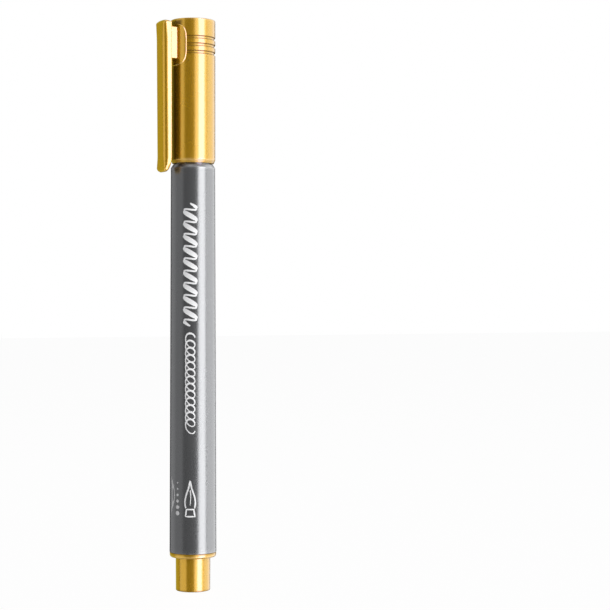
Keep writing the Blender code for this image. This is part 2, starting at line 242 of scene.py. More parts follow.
def markPoints(piece, label, rule):
    # writes a 0 to 1 value on each point, from a rule that takes its vertex
    marks = piece.data.attributes.new(label, "FLOAT", "POINT")
    marks.data.foreach_set("value", [min(1.0, max(0.0, rule(vertex))) for vertex in piece.data.vertices])


def markWearAndHighlight(piece, corners, reach):
    # wear and painted highlight: 1 at the (r, z) corners, those that hands and caps rub and those given a
    # painted highlight line, and 0 past reach
    def rubbedAndLit(vertex):
        r, z = math.hypot(vertex.co.x, vertex.co.y), vertex.co.z
        nearest = min(math.hypot(r - cornerR, z - cornerZ) for cornerR, cornerZ in corners)
        return max(0.0, 1 - nearest / reach) ** 2
    markPoints(piece, "wear", rubbedAndLit)


# materials
noiseSpan = (0.3, 0.7)  # nearly all of a noise's values lie in it


def newMaterial(name):
    material = bpy.data.materials.new(name)
    material.use_nodes = True
    tree = material.node_tree
    tree.nodes.clear()
    shader = tree.nodes.new("ShaderNodeBsdfPrincipled")
    out = tree.nodes.new("ShaderNodeOutputMaterial")
    tree.links.new(shader.outputs[0], out.inputs[0])
    place = tree.nodes.new("ShaderNodeTexCoord").outputs["Object"]
    return material, tree, shader, place


def stretched(tree, place, scale, turn=(0, 0, 0)):
    return addNode(tree, "ShaderNodeMapping", vector=place, scale=scale, rotation=turn).outputs[0]


def noise(tree, place, scale, detail=2.0, roughness=0.5):
    return addNode(tree, "ShaderNodeTexNoise", vector=place, scale=scale, detail=detail,
                   roughness=roughness).outputs["Fac"]


def remap(tree, value, low, high, toLow, toHigh):
    return addNode(tree, "ShaderNodeMapRange", value=value, frommin=low, frommax=high,
                   tomin=toLow, tomax=toHigh).outputs[0]


def blendColour(tree, share, first, second):
    node = tree.nodes.new("ShaderNodeMix")
    node.data_type = "RGBA"
    feed(tree, node.inputs[0], share)
    for socket, colour in ((node.inputs[6], first), (node.inputs[7], second)):
        feed(tree, socket, (*colour, 1.0) if isinstance(colour, tuple) else colour)
    return node.outputs[2]


def bump(tree, height, strength, depth, under=None):
    node = addNode(tree, "ShaderNodeBump", height=height, strength=strength, distance=depth)
    if under is not None:
        tree.links.new(under, node.inputs["Normal"])
    return node.outputs[0]


def hairlines(tree, place, turn, scale, share):
    # thin rubbed lines: a long stretched noise, cut near its middle value
    lines = noise(tree, stretched(tree, place, (1, 1, 0.035), turn), scale, 1.0)
    off = maths(tree, "ABSOLUTE", maths(tree, "SUBTRACT", lines, 0.5))
    return remap(tree, off, 0.0, share, 1.0, 0.0)


mouldedLook = {  # what both colours of the moulded plastic share
    "glintSpan": (0.56, 0.74), "streakStretch": 0.08, "patchScale": 900.0, "patchSpan": (0.35, 0.65),
    "patchLeast": 0.5, "wornGlint": 0.6, "wornRoughness": 0.12, "shadeRoughness": 0.25,
    "roughnessSwing": 0.012, "flakeDepth": 0.004 * mm, "streakDepth": 0.006 * mm,
    "hairlines": (((0.5, 0.2, 0.0), 700.0, 0.006), ((-0.9, 0.5, 0.3), 520.0, 0.005)),  # turn, scale, share
    "lineSpan": (0.48, 0.66), "lineRoughness": 0.05, "lineBump": 0.1, "lineDepth": -0.002 * mm,
}


def metallicPlastic(name, look):
    # moulded plastic with fine metal flakes, flow streaks, rubbed hairlines, worn edges and painted highlight
    # lines both lightened towards the glint colour, and painted shade: darker, rougher and without coat where
    # a piece marks it
    both = mouldedLook
    material, tree, shader, place = newMaterial(name)
    flakes = noise(tree, place, look["flakeScale"], 1.0)
    glint = remap(tree, flakes, *both["glintSpan"], 0.0, 1.0)
    streaks = noise(tree, stretched(tree, place, (1, 1, both["streakStretch"])), look["streakScale"], 3.0)
    cloud = noise(tree, place, look["cloudScale"], 3.0, 0.6)
    # value for worn edges and painted highlight lines
    wearAndHighlightMask = addNode(tree, "ShaderNodeAttribute", {"attribute_name": "wear"}).outputs["Fac"]
    patches = noise(tree, place, both["patchScale"], 3.0)
    rubbedAndLit = maths(tree, "MULTIPLY", wearAndHighlightMask, remap(tree, patches, *both["patchSpan"], both["patchLeast"], 1.0))
    # painted shade value, set on corners, gaps and the clip's inner face
    paintedShadeMask = addNode(tree, "ShaderNodeAttribute", {"attribute_name": "shade"}).outputs["Fac"]
    lines = maths(tree, "MAXIMUM", *[hairlines(tree, place, *line) for line in both["hairlines"]])
    lines = maths(tree, "MULTIPLY", lines, remap(tree, cloud, *both["lineSpan"], 0.0, 1.0))

    tint = blendColour(tree, remap(tree, streaks, *noiseSpan, 0.0, 1.0), look["deep"], look["base"])
    tint = blendColour(tree, maths(tree, "MULTIPLY", glint, look["glintShare"]), tint, look["glint"])
    # wear and painted highlight: the marked edges turn towards the glint colour
    tint = blendColour(tree, maths(tree, "MULTIPLY", rubbedAndLit, both["wornGlint"]), tint, look["glint"])
    # painted shade: the marked points turn towards the look's dark shade colour
    tint = blendColour(tree, paintedShadeMask, tint, look["shade"])
    feed(tree, shader.inputs["Base Color"], tint)

    rough = remap(tree, cloud, *noiseSpan, look["roughness"] - both["roughnessSwing"],
                  look["roughness"] + both["roughnessSwing"])
    for share, amount in ((rubbedAndLit, both["wornRoughness"]), (lines, both["lineRoughness"]),
                          (paintedShadeMask, both["shadeRoughness"])):
        rough = maths(tree, "ADD", rough, maths(tree, "MULTIPLY", share, amount))
    feed(tree, shader.inputs["Roughness"], rough)
    shader.inputs["Metallic"].default_value = look["metallic"]
    shader.inputs["IOR"].default_value = look["ior"]
    bare = maths(tree, "SUBTRACT", 1.0, paintedShadeMask)
    feed(tree, shader.inputs["Coat Weight"], maths(tree, "MULTIPLY", bare, look["coat"]))
    shader.inputs["Coat Roughness"].default_value = look["coatRoughness"]
    shader.inputs["Coat IOR"].default_value = look["coatIor"]

    relief = bump(tree, flakes, look["flakeBump"], both["flakeDepth"])
    relief = bump(tree, streaks, look["streakBump"], both["streakDepth"], relief)
    relief = bump(tree, lines, both["lineBump"], both["lineDepth"], relief)
    feed(tree, shader.inputs["Normal"], relief)
    return material


# the shade colours below are the dark colour of the painted shade
goldLook = {
    "base": (0.66, 0.375, 0.006), "deep": (0.62, 0.35, 0.005), "glint": (0.90, 0.66, 0.20),
    "shade": (0.055, 0.028, 0.002), "glintShare": 0.15, "metallic": 0.66, "roughness": 0.27, "ior": 1.5,
    "coat": 1.0, "coatRoughness": 0.18, "coatIor": 1.7,
    "flakeScale": 9000.0, "streakScale": 260.0, "cloudScale": 150.0, "flakeBump": 0.2, "streakBump": 0.03,
}
greyLook = {
    "base": (0.250, 0.253, 0.260), "deep": (0.238, 0.241, 0.248), "glint": (0.48, 0.485, 0.50),
    "shade": (0.02, 0.02, 0.022), "glintShare": 0.2, "metallic": 0.85, "roughness": 0.27, "ior": 1.5,
    "coat": 0.0, "coatRoughness": 0.1, "coatIor": 1.5,
    "flakeScale": 8000.0, "streakScale": 220.0, "cloudScale": 130.0, "flakeBump": 0.25, "streakBump": 0.03,
}


def softPlastic(name, look):
    # unfilled, slightly waxy moulded plastic
    material, tree, shader, place = newMaterial(name)
    cloud = noise(tree, place, 220.0, 4.0, 0.6)
    grain = noise(tree, place, 4200.0, 2.0)
    feed(tree, shader.inputs["Base Color"], blendColour(tree, remap(tree, cloud, *noiseSpan, 0.0, 1.0),
                                                        look["deep"], look["base"]))
    feed(tree, shader.inputs["Roughness"], remap(tree, cloud, *noiseSpan, look["roughness"] - 0.06,
                                                 look["roughness"] + 0.06))
    shader.inputs["Subsurface Weight"].default_value = look["glow"]
    shader.inputs["Subsurface Radius"].default_value = (1.0 * mm, 0.9 * mm, 0.7 * mm)
    shader.inputs["Subsurface Scale"].default_value = 1.0
    feed(tree, shader.inputs["Normal"], bump(tree, grain, 0.25, 0.008 * mm))
    return material


def fibreStuff(name, look):
    # bonded fibres along the axis, soaked unevenly with pigment that sparkles
    material, tree, shader, place = newMaterial(name)
    strands = noise(tree, stretched(tree, place, (1, 1, look["stretch"])), look["strandScale"], 3.0, 0.65)
    soaked = noise(tree, place, look["soakScale"], 4.0, 0.6)
    pigment = noise(tree, place, 7000.0, 1.0)
    tint = blendColour(tree, remap(tree, soaked, 0.38, 0.62, 0.0, 1.0), look["dark"], look["base"])
    tint = blendColour(tree, remap(tree, strands, 0.45, 0.72, 0.0, look["strandShare"]), tint, look["pale"])
    tint = blendColour(tree, remap(tree, pigment, 0.58, 0.72, 0.0, look["sparkle"]), tint, look["glint"])
    feed(tree, shader.inputs["Base Color"], tint)
    feed(tree, shader.inputs["Roughness"], remap(tree, soaked, *noiseSpan, look["roughness"] - 0.08,
                                                 look["roughness"] + 0.1))
    shader.inputs["Metallic"].default_value = look["metallic"]
    relief = bump(tree, strands, 0.7, 0.03 * mm)
    feed(tree, shader.inputs["Normal"], bump(tree, pigment, 0.3, 0.008 * mm, relief))
    return material


def printedInk(name, look):
    # opaque white print: a little chalky, with pinholes where it has rubbed thin
    material, tree, shader, place = newMaterial(name)
    pores = noise(tree, place, 5200.0, 3.0, 0.6)
    cloud = noise(tree, place, 260.0, 3.0)
    tint = blendColour(tree, remap(tree, pores, 0.60, 0.74, 0.0, 0.45), look["base"], look["thin"])
    tint = blendColour(tree, remap(tree, cloud, 0.35, 0.7, 0.0, 0.12), tint, look["thin"])
    feed(tree, shader.inputs["Base Color"], tint)
    feed(tree, shader.inputs["Roughness"], remap(tree, cloud, *noiseSpan, 0.38, 0.52))
    feed(tree, shader.inputs["Normal"], bump(tree, pores, 0.25, 0.006 * mm))
    return material


def filmStuff(name):
    # thin milky film with fine wrap creases
    material, tree, shader, place = newMaterial(name)
    creases = noise(tree, stretched(tree, place, (1, 1, 0.12), (0.2, 0.1, 0)), 900.0, 4.0, 0.6)
    cloud = noise(tree, place, 160.0, 3.0)
    feed(tree, shader.inputs["Base Color"], blendColour(tree, remap(tree, cloud, *noiseSpan, 0.0, 1.0),
                                                        (0.70, 0.73, 0.76), (0.84, 0.86, 0.88)))
    feed(tree, shader.inputs["Roughness"], remap(tree, creases, *noiseSpan, 0.16, 0.34))
    shader.inputs["Transmission Weight"].default_value = 0.55
    shader.inputs["IOR"].default_value = 1.45
    feed(tree, shader.inputs["Normal"], bump(tree, creases, 0.4, 0.012 * mm))
    return material


goldPlastic = metallicPlastic("goldFlakePlastic", goldLook)
greyPlastic = metallicPlastic("greyFlakePlastic", greyLook)
sealPlastic = softPlastic("sealPlastic", {"base": (0.80, 0.79, 0.75), "deep": (0.74, 0.72, 0.67),
                                          "roughness": 0.45, "glow": 0.25})
nibFibre = fibreStuff("goldSoakedFibre", {
    "dark": (0.20, 0.105, 0.004), "base": (0.46, 0.27, 0.045), "pale": (0.66, 0.46, 0.20),
    "glint": (0.95, 0.78, 0.45), "stretch": 0.12, "strandScale": 3200.0, "soakScale": 700.0,
    "strandShare": 0.8, "sparkle": 0.7, "roughness": 0.5, "metallic": 0.25})
reservoirFibre = fibreStuff("reservoirFibre", {
    "dark": (0.42, 0.30, 0.10), "base": (0.62, 0.50, 0.24), "pale": (0.80, 0.74, 0.58),
    "glint": (0.9, 0.8, 0.5), "stretch": 0.05, "strandScale": 2200.0, "soakScale": 260.0,
    "strandShare": 0.7, "sparkle": 0.3, "roughness": 0.82, "metallic": 0.0})
whiteInk = printedInk("whitePrint", {"base": (0.87, 0.87, 0.88), "thin": (0.55, 0.555, 0.565)})
paleInk = printedInk("palePrint", {"base": (0.80, 0.80, 0.81), "thin": (0.50, 0.505, 0.51)})
wrapFilm = filmStuff("wrapFilm")
print("materials ready")


# barrel
barrelBox, sectionBox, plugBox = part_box("barrel"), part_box("front_section"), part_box("tail_plug")
shoulderZ, footZ = barrelBox[1].z, barrelBox[0].z
barrelLook = {
    "frontRadius": 5.43 * mm, "rearRadius": 5.735 * mm, "flareRadius": barrelBox[1].x,
    "flareLength": 1.5 * mm, "chamferIn": 0.50 * mm, "chamferTall": 0.80 * mm, "edge": 0.06 * mm,
    "footRound": 0.10 * mm, "bore": 4.45 * mm, "boreEdge": 0.12 * mm, "wearReach": 0.7 * mm,
    "foot": footZ - 0.12 * mm,  # it all but meets the plug's flange
}


def barrelRadius(z):
    # the barrel's slow taper, from the shoulder to the flare
    look = barrelLook
    share = (shoulderZ - z) / (shoulderZ - footZ - look["flareLength"])
    return between(look["frontRadius"], look["rearRadius"], share)


def makeBarrel():
    look = barrelLook
    front, foot, edge, low = look["frontRadius"], look["footRound"], look["edge"], look["foot"]
    tilt = math.degrees(math.atan2(look["chamferIn"], look["chamferTall"]))  # of the chamfer's normal
    flareTop = footZ + look["flareLength"]
    heights = [between(shoulderZ, flareTop, share) for share in (0.1, 0.5, 0.9, 1.0)]
    outline = [
        (look["bore"] + look["boreEdge"], shoulderZ),
        *arcPoints(front - look["chamferIn"] - edge, shoulderZ - edge, edge, 90, tilt, 4),
        *arcPoints(front - edge, shoulderZ - look["chamferTall"] - edge / 2, edge, tilt, 0, 3),
        *[(barrelRadius(height), height) for height in heights],
        *arcPoints(look["flareRadius"] - foot, low + foot, foot, 0, -90, 5),
        (look["bore"], low),
        (look["bore"], shoulderZ - look["boreEdge"]),
    ]
    piece = turnedPiece("barrel_tube", outline, greyPlastic)
    rubbedAndLit = [(front, shoulderZ - look["chamferTall"]), (look["flareRadius"], low)]
    markWearAndHighlight(piece, rubbedAndLit, look["wearReach"])
    return piece


# tail plug
plugLook = {
    "stubEnd": 4.20 * mm, "stubTop": 4.24 * mm, "endRound": 0.26 * mm, "flangeLow": 8.24 * mm,
    "flangeHigh": barrelLook["foot"] - 0.04 * mm, "flangeRadius": 5.69 * mm, "flangeRound": 0.60 * mm,
    # endShade, endTone, flangeTone and flangePower set the painted shade on the stub's end and the flange's
    # edges
    "crestRound": 0.10 * mm, "endShade": 0.45 * mm, "endTone": 0.9, "flangeTone": 0.6, "flangePower": 1.5,
    "stubMargin": 0.05 * mm, "wearRise": 0.5 * mm, "wearReach": 0.4 * mm,
    "wall": 1.1 * mm, "floor": 1.3 * mm, "spigot": 4.35 * mm, "spigotChamfer": 0.5 * mm,
    "gateRadius": 0.9 * mm, "gateDepth": 0.12 * mm,  # the round mark left by the moulding gate
}


def plugPaintedShade(vertex):
    # painted shade: the turned-under edges of the flange and the stub's end are painted darker
    look = plugLook
    up = (vertex.co.z - look["flangeLow"]) / (look["flangeHigh"] - look["flangeLow"])
    if math.hypot(vertex.co.x, vertex.co.y) > look["stubTop"] + look["stubMargin"]:
        return look["flangeTone"] * abs(2 * up - 1) ** look["flangePower"]
    return look["endTone"] * (1 - vertex.co.z / look["endShade"])


def makeTailPlug():
    look = plugLook
    top = plugBox[1].z
    bore = look["stubEnd"] - look["wall"]
    crest, low = look["crestRound"], look["flangeRound"]
    outline = [
        (0, look["floor"]),
        (bore, look["floor"]),
        (bore, top),
        (look["spigot"] - look["spigotChamfer"], top),
        (look["spigot"], top - look["spigotChamfer"]),
        (look["spigot"], look["flangeHigh"]),
        *arcPoints(look["flangeRadius"] - crest, look["flangeHigh"] - crest, crest, 90, 0, 4),
        *arcPoints(look["flangeRadius"] - low, look["flangeLow"] + low, low, 0, -86, 12),
        (look["stubTop"] + 0.1 * mm, look["flangeLow"] - 0.01 * mm),
        (look["stubTop"], look["flangeLow"] - 0.10 * mm),
        *arcPoints(look["stubEnd"] - look["endRound"], look["endRound"], look["endRound"], 0, -90, 10),
        (look["gateRadius"] + 0.1 * mm, 0),
        (look["gateRadius"], look["gateDepth"]),
        (0, look["gateDepth"]),
    ]
    piece = turnedPiece("tail_plug_moulding", outline, goldPlastic)
    # a painted highlight line round the middle of the flange
    markWearAndHighlight(piece, [(look["flangeRadius"], look["flangeLow"] + look["wearRise"])], look["wearReach"])
    # painted shade on the flange's edges and the stub's end
    markPoints(piece, "shade", plugPaintedShade)
    return piece


# front section
sectionLook = {  # heights above the barrel's shoulder
    "neckRadius": 4.125 * mm, "beadStart": 0.64 * mm, "beadEnd": 3.2 * mm, "beadRadius": 4.25 * mm,
    "cylinderLow": 4.07 * mm, "cylinderHigh": 4.03 * mm, "cylinderEnd": 12.56 * mm,
    "coneRadius": 3.75 * mm, "coneStart": 13.3 * mm, "noseLow": 2.485 * mm, "noseHigh": 2.45 * mm,
    "noseStart": 16.7 * mm, "noseRound": 0.3 * mm, "nibBore": 1.6 * mm, "neckBore": 3.2 * mm,
    "neckBoreEnd": 7.5 * mm, "neckBoreCone": 1.5 * mm, "spigot": 4.35 * mm, "spigotWall": 0.5 * mm,
    "spigotLength": 8.5 * mm, "spigotFloor": 1.1 * mm, "gap": 0.3 * mm, "step": 0.05 * mm,
    "nibEdge": 0.1 * mm, "beadSteps": 12, "beadPower": 1.3, "wearReach": 0.7 * mm,
}


def makeFrontSection():
    look = sectionLook
    noseTop, cylinderTop = sectionBox[1].z, shoulderZ + look["cylinderEnd"]
    noseRound, bore, step = look["noseRound"], look["spigot"] - look["spigotWall"], look["step"]
    rise, inset = look["noseStart"] - look["coneStart"], look["coneRadius"] - look["noseLow"]
    coneArc = (rise * rise + inset * inset) / (2 * inset)  # meets the nose upright
    sweep = math.degrees(math.asin(rise / coneArc))
    bead = []
    for place in range(look["beadSteps"], -1, -1):
        share = place / look["beadSteps"]
        swell = math.sin(math.pi * share) ** look["beadPower"]
        bead.append((between(look["neckRadius"], look["beadRadius"], swell),
                     shoulderZ + between(look["beadStart"], look["beadEnd"], share)))
    outline = [
        *arcPoints(look["noseHigh"] - noseRound, noseTop - noseRound, noseRound, 90, 0, 6),
        *arcPoints(look["noseLow"] + coneArc, shoulderZ + look["noseStart"], coneArc, 180, 180 + sweep, 16),
        (look["cylinderHigh"], cylinderTop + step),
        (look["cylinderHigh"], cylinderTop - step),
        (look["cylinderLow"], shoulderZ + look["beadEnd"] + 2 * step),
        *bead,
        (look["neckRadius"], shoulderZ - look["gap"]),
        (look["spigot"], shoulderZ - 2 * look["gap"]),
        (look["spigot"], shoulderZ - look["spigotLength"]),
        (bore, shoulderZ - look["spigotLength"]),
        (bore, shoulderZ - look["spigotFloor"]),
        (look["neckBore"], shoulderZ - look["spigotFloor"]),
        (look["neckBore"], shoulderZ + look["neckBoreEnd"]),
        (look["nibBore"], shoulderZ + look["neckBoreEnd"] + look["neckBoreCone"]),
        (look["nibBore"], noseTop - look["nibEdge"]),
        (look["nibBore"] + look["nibEdge"], noseTop),
    ]
    piece = turnedPiece("front_section_moulding", outline, greyPlastic)
    rubbedAndLit = [(look["beadRadius"], shoulderZ + 2 * mm), (look["noseHigh"], noseTop),
              (look["cylinderHigh"], cylinderTop)]
    markWearAndHighlight(piece, rubbedAndLit, look["wearReach"])
    return piece


# nib and its fibres
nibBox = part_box("brush_nib")
nibLook = {
    "baseRadius": 1.55 * mm, "tipRadius": 0.46 * mm, "exposed": 6.44 * mm, "taperPower": 1.75,
    "shankRadius": 1.48 * mm, "rings": 40, "underStrands": 0.03 * mm,
    "strands": 150, "strandPoints": 14, "strandRadius": 0.045 * mm, "strandStart": 0.6 * mm,
    "strandSeed": 11, "goldenAngle": 2.399963,  # radians from one strand to the next
}


def nibRadius(share):
    # share runs from 0 at the tip to 1 at the nose
    look = nibLook
    return between(look["tipRadius"], look["baseRadius"], 1 - (1 - share) ** look["taperPower"])


def makeNib():
    look = nibLook
    noseTop, top, low = sectionBox[1].z, nibBox[1].z, nibBox[0].z
    body = []
    for ring in range(look["rings"] + 1):
        share = ring / look["rings"]
        body.append((nibRadius(share) - look["underStrands"],
                     noseTop + look["exposed"] * (1 - share) + 0.2 * mm * share))
    outline = [
        (0, top - 0.04 * mm),
        (0.5 * look["tipRadius"], top - 0.10 * mm),
        (0.8 * look["tipRadius"], top - 0.20 * mm),
        *body,
        (look["shankRadius"], noseTop - 0.2 * mm),
        (look["shankRadius"], low + 0.8 * mm),
        (look["shankRadius"] - 0.6 * mm, low),
        (0, low),
    ]
    return turnedPiece("brush_nib_core", outline, nibFibre, meshLook["smallSteps"])


def makeStrandTree():
    # fine fibres laid along the nib, each with its own side step, length and lift
    tree, given, identifiers = newTree("nibStrands", [
        ("Strands", "Int", 100), ("Base radius", "Float", 1.0), ("Tip radius", "Float", 0.1),
        ("Taper power", "Float", 1.75), ("Base height", "Float", 0.0), ("Length", "Float", 1.0),
        ("Strand radius", "Float", 0.01), ("Seed", "Int", 1), ("Material", "Material", None)])
    get = given.outputs
    seeds = addNode(tree, "GeometryNodeMeshLine", count=get["Strands"])
    strand = addNode(tree, "GeometryNodeCurvePrimitiveLine", end=(0, 0, 1))
    strand = addNode(tree, "GeometryNodeResampleCurve", curve=strand, count=nibLook["strandPoints"])
    spread = addNode(tree, "GeometryNodeInstanceOnPoints", points=seeds, instance=strand)
    real = addNode(tree, "GeometryNodeRealizeInstances", geometry=spread)
    along = tree.nodes.new("GeometryNodeSplineParameter").outputs["Factor"]
    point = tree.nodes.new("GeometryNodeInputIndex").outputs[0]
    which = maths(tree, "FLOOR", maths(tree, "DIVIDE", point, nibLook["strandPoints"]))  # a point's strand

    def chance(low, high, salt):
        node = tree.nodes.new("FunctionNodeRandomValue")
        node.data_type = "FLOAT"
        node.inputs[2].default_value = low
        node.inputs[3].default_value = high
        tree.links.new(which, node.inputs["ID"])
        tree.links.new(maths(tree, "ADD", get["Seed"], salt), node.inputs["Seed"])
        return node.outputs[1]

    reach = maths(tree, "MULTIPLY", along, chance(0.80, 1.0, 1))
    share = maths(tree, "SUBTRACT", 1.0, reach)
    curved = maths(tree, "SUBTRACT", 1.0, maths(tree, "POWER", reach, get["Taper power"]))
    span = maths(tree, "SUBTRACT", get["Base radius"], get["Tip radius"])
    radius = maths(tree, "ADD", get["Tip radius"], maths(tree, "MULTIPLY", span, curved))
    radius = maths(tree, "ADD", radius, maths(tree, "MULTIPLY", chance(-1.3, -0.5, 2), get["Strand radius"]))
    turn = maths(tree, "MULTIPLY", which, nibLook["goldenAngle"])
    turn = maths(tree, "ADD", turn, maths(tree, "MULTIPLY", along, chance(-0.16, 0.16, 3)))
    height = maths(tree, "ADD", get["Base height"], maths(tree, "MULTIPLY", reach, get["Length"]))
    place = addNode(tree, "ShaderNodeCombineXYZ",
                    x=maths(tree, "MULTIPLY", radius, maths(tree, "COSINE", turn)),
                    y=maths(tree, "MULTIPLY", radius, maths(tree, "SINE", turn)), z=height)
    laid = addNode(tree, "GeometryNodeSetPosition", geometry=real, position=place)
    section = addNode(tree, "GeometryNodeCurvePrimitiveCircle", resolution=5, radius=get["Strand radius"])
    slim = maths(tree, "ADD", 0.35, maths(tree, "MULTIPLY", share, 0.65))
    swept = addNode(tree, "GeometryNodeCurveToMesh", curve=laid, profilecurve=section, scale=slim,
                    fillcaps=True)
    endTree(tree, swept, get["Material"])
    return tree, identifiers


def makeNibStrands():
    look = nibLook
    tree, identifiers = makeStrandTree()
    noseTop = sectionBox[1].z
    return grow("brush_nib_strands", bpy.data.meshes.new("none"), tree, identifiers, {
        "Strands": look["strands"], "Base radius": look["baseRadius"], "Tip radius": look["tipRadius"],
        "Taper power": look["taperPower"], "Base height": noseTop - look["strandStart"],
        "Length": look["exposed"] + look["strandStart"], "Strand radius": look["strandRadius"],
        "Seed": look["strandSeed"], "Material": nibFibre})


# reservoir and film
reservoirLook = {
    "neck": 3.1 * mm, "neckEdge": 0.1 * mm, "socket": 1.58 * mm, "socketDepth": 7.0 * mm,
    "stepBelow": 1.4 * mm, "stepRise": 0.3 * mm, "edge": 0.15 * mm,
}
filmLook = {"wall": 0.2 * mm, "ripple": 0.02 * mm, "ripples": 84}


def makeReservoir():
    look = reservoirLook
    low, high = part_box("ink_reservoir")
    neck, socket, step = look["neck"], look["socket"], shoulderZ - look["stepBelow"]
    outline = [
        (0, high.z - look["socketDepth"]),
        (socket, high.z - look["socketDepth"]),
        (socket, high.z),
        (neck - look["neckEdge"], high.z),
        (neck, high.z - look["neckEdge"]),
        (neck, step + look["stepRise"]),
        (high.x, step),
        (high.x, low.z + look["edge"]),
        (high.x - look["edge"], low.z),
        (0, low.z),
    ]
    return turnedPiece("reservoir_rod", outline, reservoirFibre, meshLook["smallSteps"])


def makeWrap():
    look = filmLook
    low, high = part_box("reservoir_wrap")
    inner = high.x - look["wall"]
    ripple = [(high.x - look["ripple"] * (step % 2), between(high.z, low.z, step / look["ripples"]))
              for step in range(look["ripples"] + 1)]
    outline = [*ripple, (inner, low.z), (inner, high.z)]
    return turnedPiece("reservoir_film", outline, wrapFilm, meshLook["smallSteps"])


# inner cap
sealLook = {
    "bore": 3.0 * mm, "lip": 3.5 * mm, "lipTall": 0.6 * mm, "roof": 0.8 * mm, "edge": 0.15 * mm,
    "roofRound": 0.5 * mm,
}


def makeInnerCap():
    look = sealLook
    low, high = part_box("inner_cap")
    bore, edge, curve = look["bore"], look["edge"], look["roofRound"]
    outline = [
        (0, high.z),
        *arcPoints(high.x - edge, high.z - edge, edge, 90, 0, 5),
        (high.x, low.z + look["lipTall"]),
        *arcPoints(look["lip"] - edge, low.z + edge, edge, 20, -90, 5),
        *arcPoints(bore + edge, low.z + edge, edge, -90, -180, 5),
        *arcPoints(bore - curve, high.z - look["roof"] - curve, curve, 0, 90, 6),
        (0, high.z - look["roof"]),
    ]
    return turnedPiece("inner_cap_seal", outline, sealPlastic, meshLook["smallSteps"])


# cap
capBox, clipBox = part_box("cap_shell"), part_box("clip")
capTop, capRim = capBox[1].z, capBox[0].z
capLook = {
    "radius": capBox[1].x, "bore": 4.34 * mm, "roof": 1.2 * mm, "topRound": 0.25 * mm,
    "rimInset": 0.34 * mm, "rimHeight": 0.70 * mm, "rimRidge": 0.06 * mm, "rimEdge": 0.06 * mm,
    # rimTone, grooveDark and grooveTone set the painted shade under the rim's ridge and in the grooves'
    # corners
    "rimTone": 0.30, "innerSide": 0.3 * mm, "ridgeMargin": 0.02 * mm,
    "grooveDepths": (4.66 * mm, 6.47 * mm, 8.28 * mm), "grooveWidth": 0.82 * mm,
    "grooveDepth": 0.25 * mm, "grooveWall": 0.08 * mm, "grooveDark": 0.22 * mm, "grooveTone": 0.62,
    "grooveSteps": 6, "grooveBeside": 0.05 * mm, "grooveFade": 0.04 * mm,
    "headShade": math.radians(37), "headTone": 0.75,  # the painted shadow behind the clip's head
    "headFrom": 0.2 * mm, "headTo": 2.5 * mm, "headEase": 0.5 * mm, "headFade": 4,
    "gapShade": math.radians(15), "gapTone": 0.55, "gapFade": 3,  # a strip of painted shadow behind the clip
    "gateRadius": 0.8 * mm, "gateDepth": 0.08 * mm, "gateEdge": 0.06 * mm,
    "wallRows": (0.45 * mm, 0.7 * mm, 1.2 * mm, 2.0 * mm, 2.5 * mm),  # below the top
    "mouthAcross": 0.2 * mm, "mouthUp": 0.3 * mm, "roofEdge": 0.4 * mm, "wearReach": 0.7 * mm,
}


def grooveOutline(middle):
    # a flat-bottomed groove with steep walls, top to bottom, and rows that bound its corners of painted shade
    look = capLook
    radius, depth = look["radius"], look["grooveDepth"]
    half, wall, dark = look["grooveWidth"] / 2, look["grooveWall"], look["grooveDark"]
    rows = [(radius, half + look["grooveBeside"])]
    for step in range(look["grooveSteps"] + 1):
        share = step / look["grooveSteps"]
        rows.append((radius - depth * (0.5 - 0.5 * math.cos(math.pi * share)), half - wall * share))
    rows += [(radius - depth, half - wall - dark * share) for share in (0.5, 1.0)]
    return [(r, middle + up) for r, up in rows] + [(r, middle - up) for r, up in reversed(rows)]


def capPaintedShade(vertex):
    # painted shade: how dark a point is painted, under the rim's ridge, behind the clip's head, in a strip
    # behind the clip and in the corners of the grooves
    look = capLook
    if math.hypot(vertex.co.x, vertex.co.y) < look["bore"] + look["innerSide"]:
        return 0.0
    if vertex.co.z < capRim + look["rimHeight"] - look["ridgeMargin"]:
        return look["rimTone"]
    aside = abs(math.atan2(vertex.co.y, -vertex.co.x))
    below = capTop - vertex.co.z
    if look["headFrom"] < below < look["headTo"] and aside < look["headShade"]:
        sideways = look["headFade"] * (1 - aside / look["headShade"])
        return look["headTone"] * min(1.0, sideways, (below - look["headFrom"]) / look["headEase"])
    if below > padLook["belowTop"] + padLook["halfHeight"] and aside < look["gapShade"]:
        return look["gapTone"] * min(1.0, look["gapFade"] * (1 - aside / look["gapShade"]))
    half, flat = look["grooveWidth"] / 2, look["grooveWidth"] / 2 - look["grooveWall"]
    away = min(abs(vertex.co.z - (capTop - depth)) for depth in look["grooveDepths"])
    if away > half:
        return look["grooveTone"] * (1 - (away - half) / look["grooveFade"])
    return look["grooveTone"] * min(1.0, 2 * (1 - (flat - away) / look["grooveDark"]))


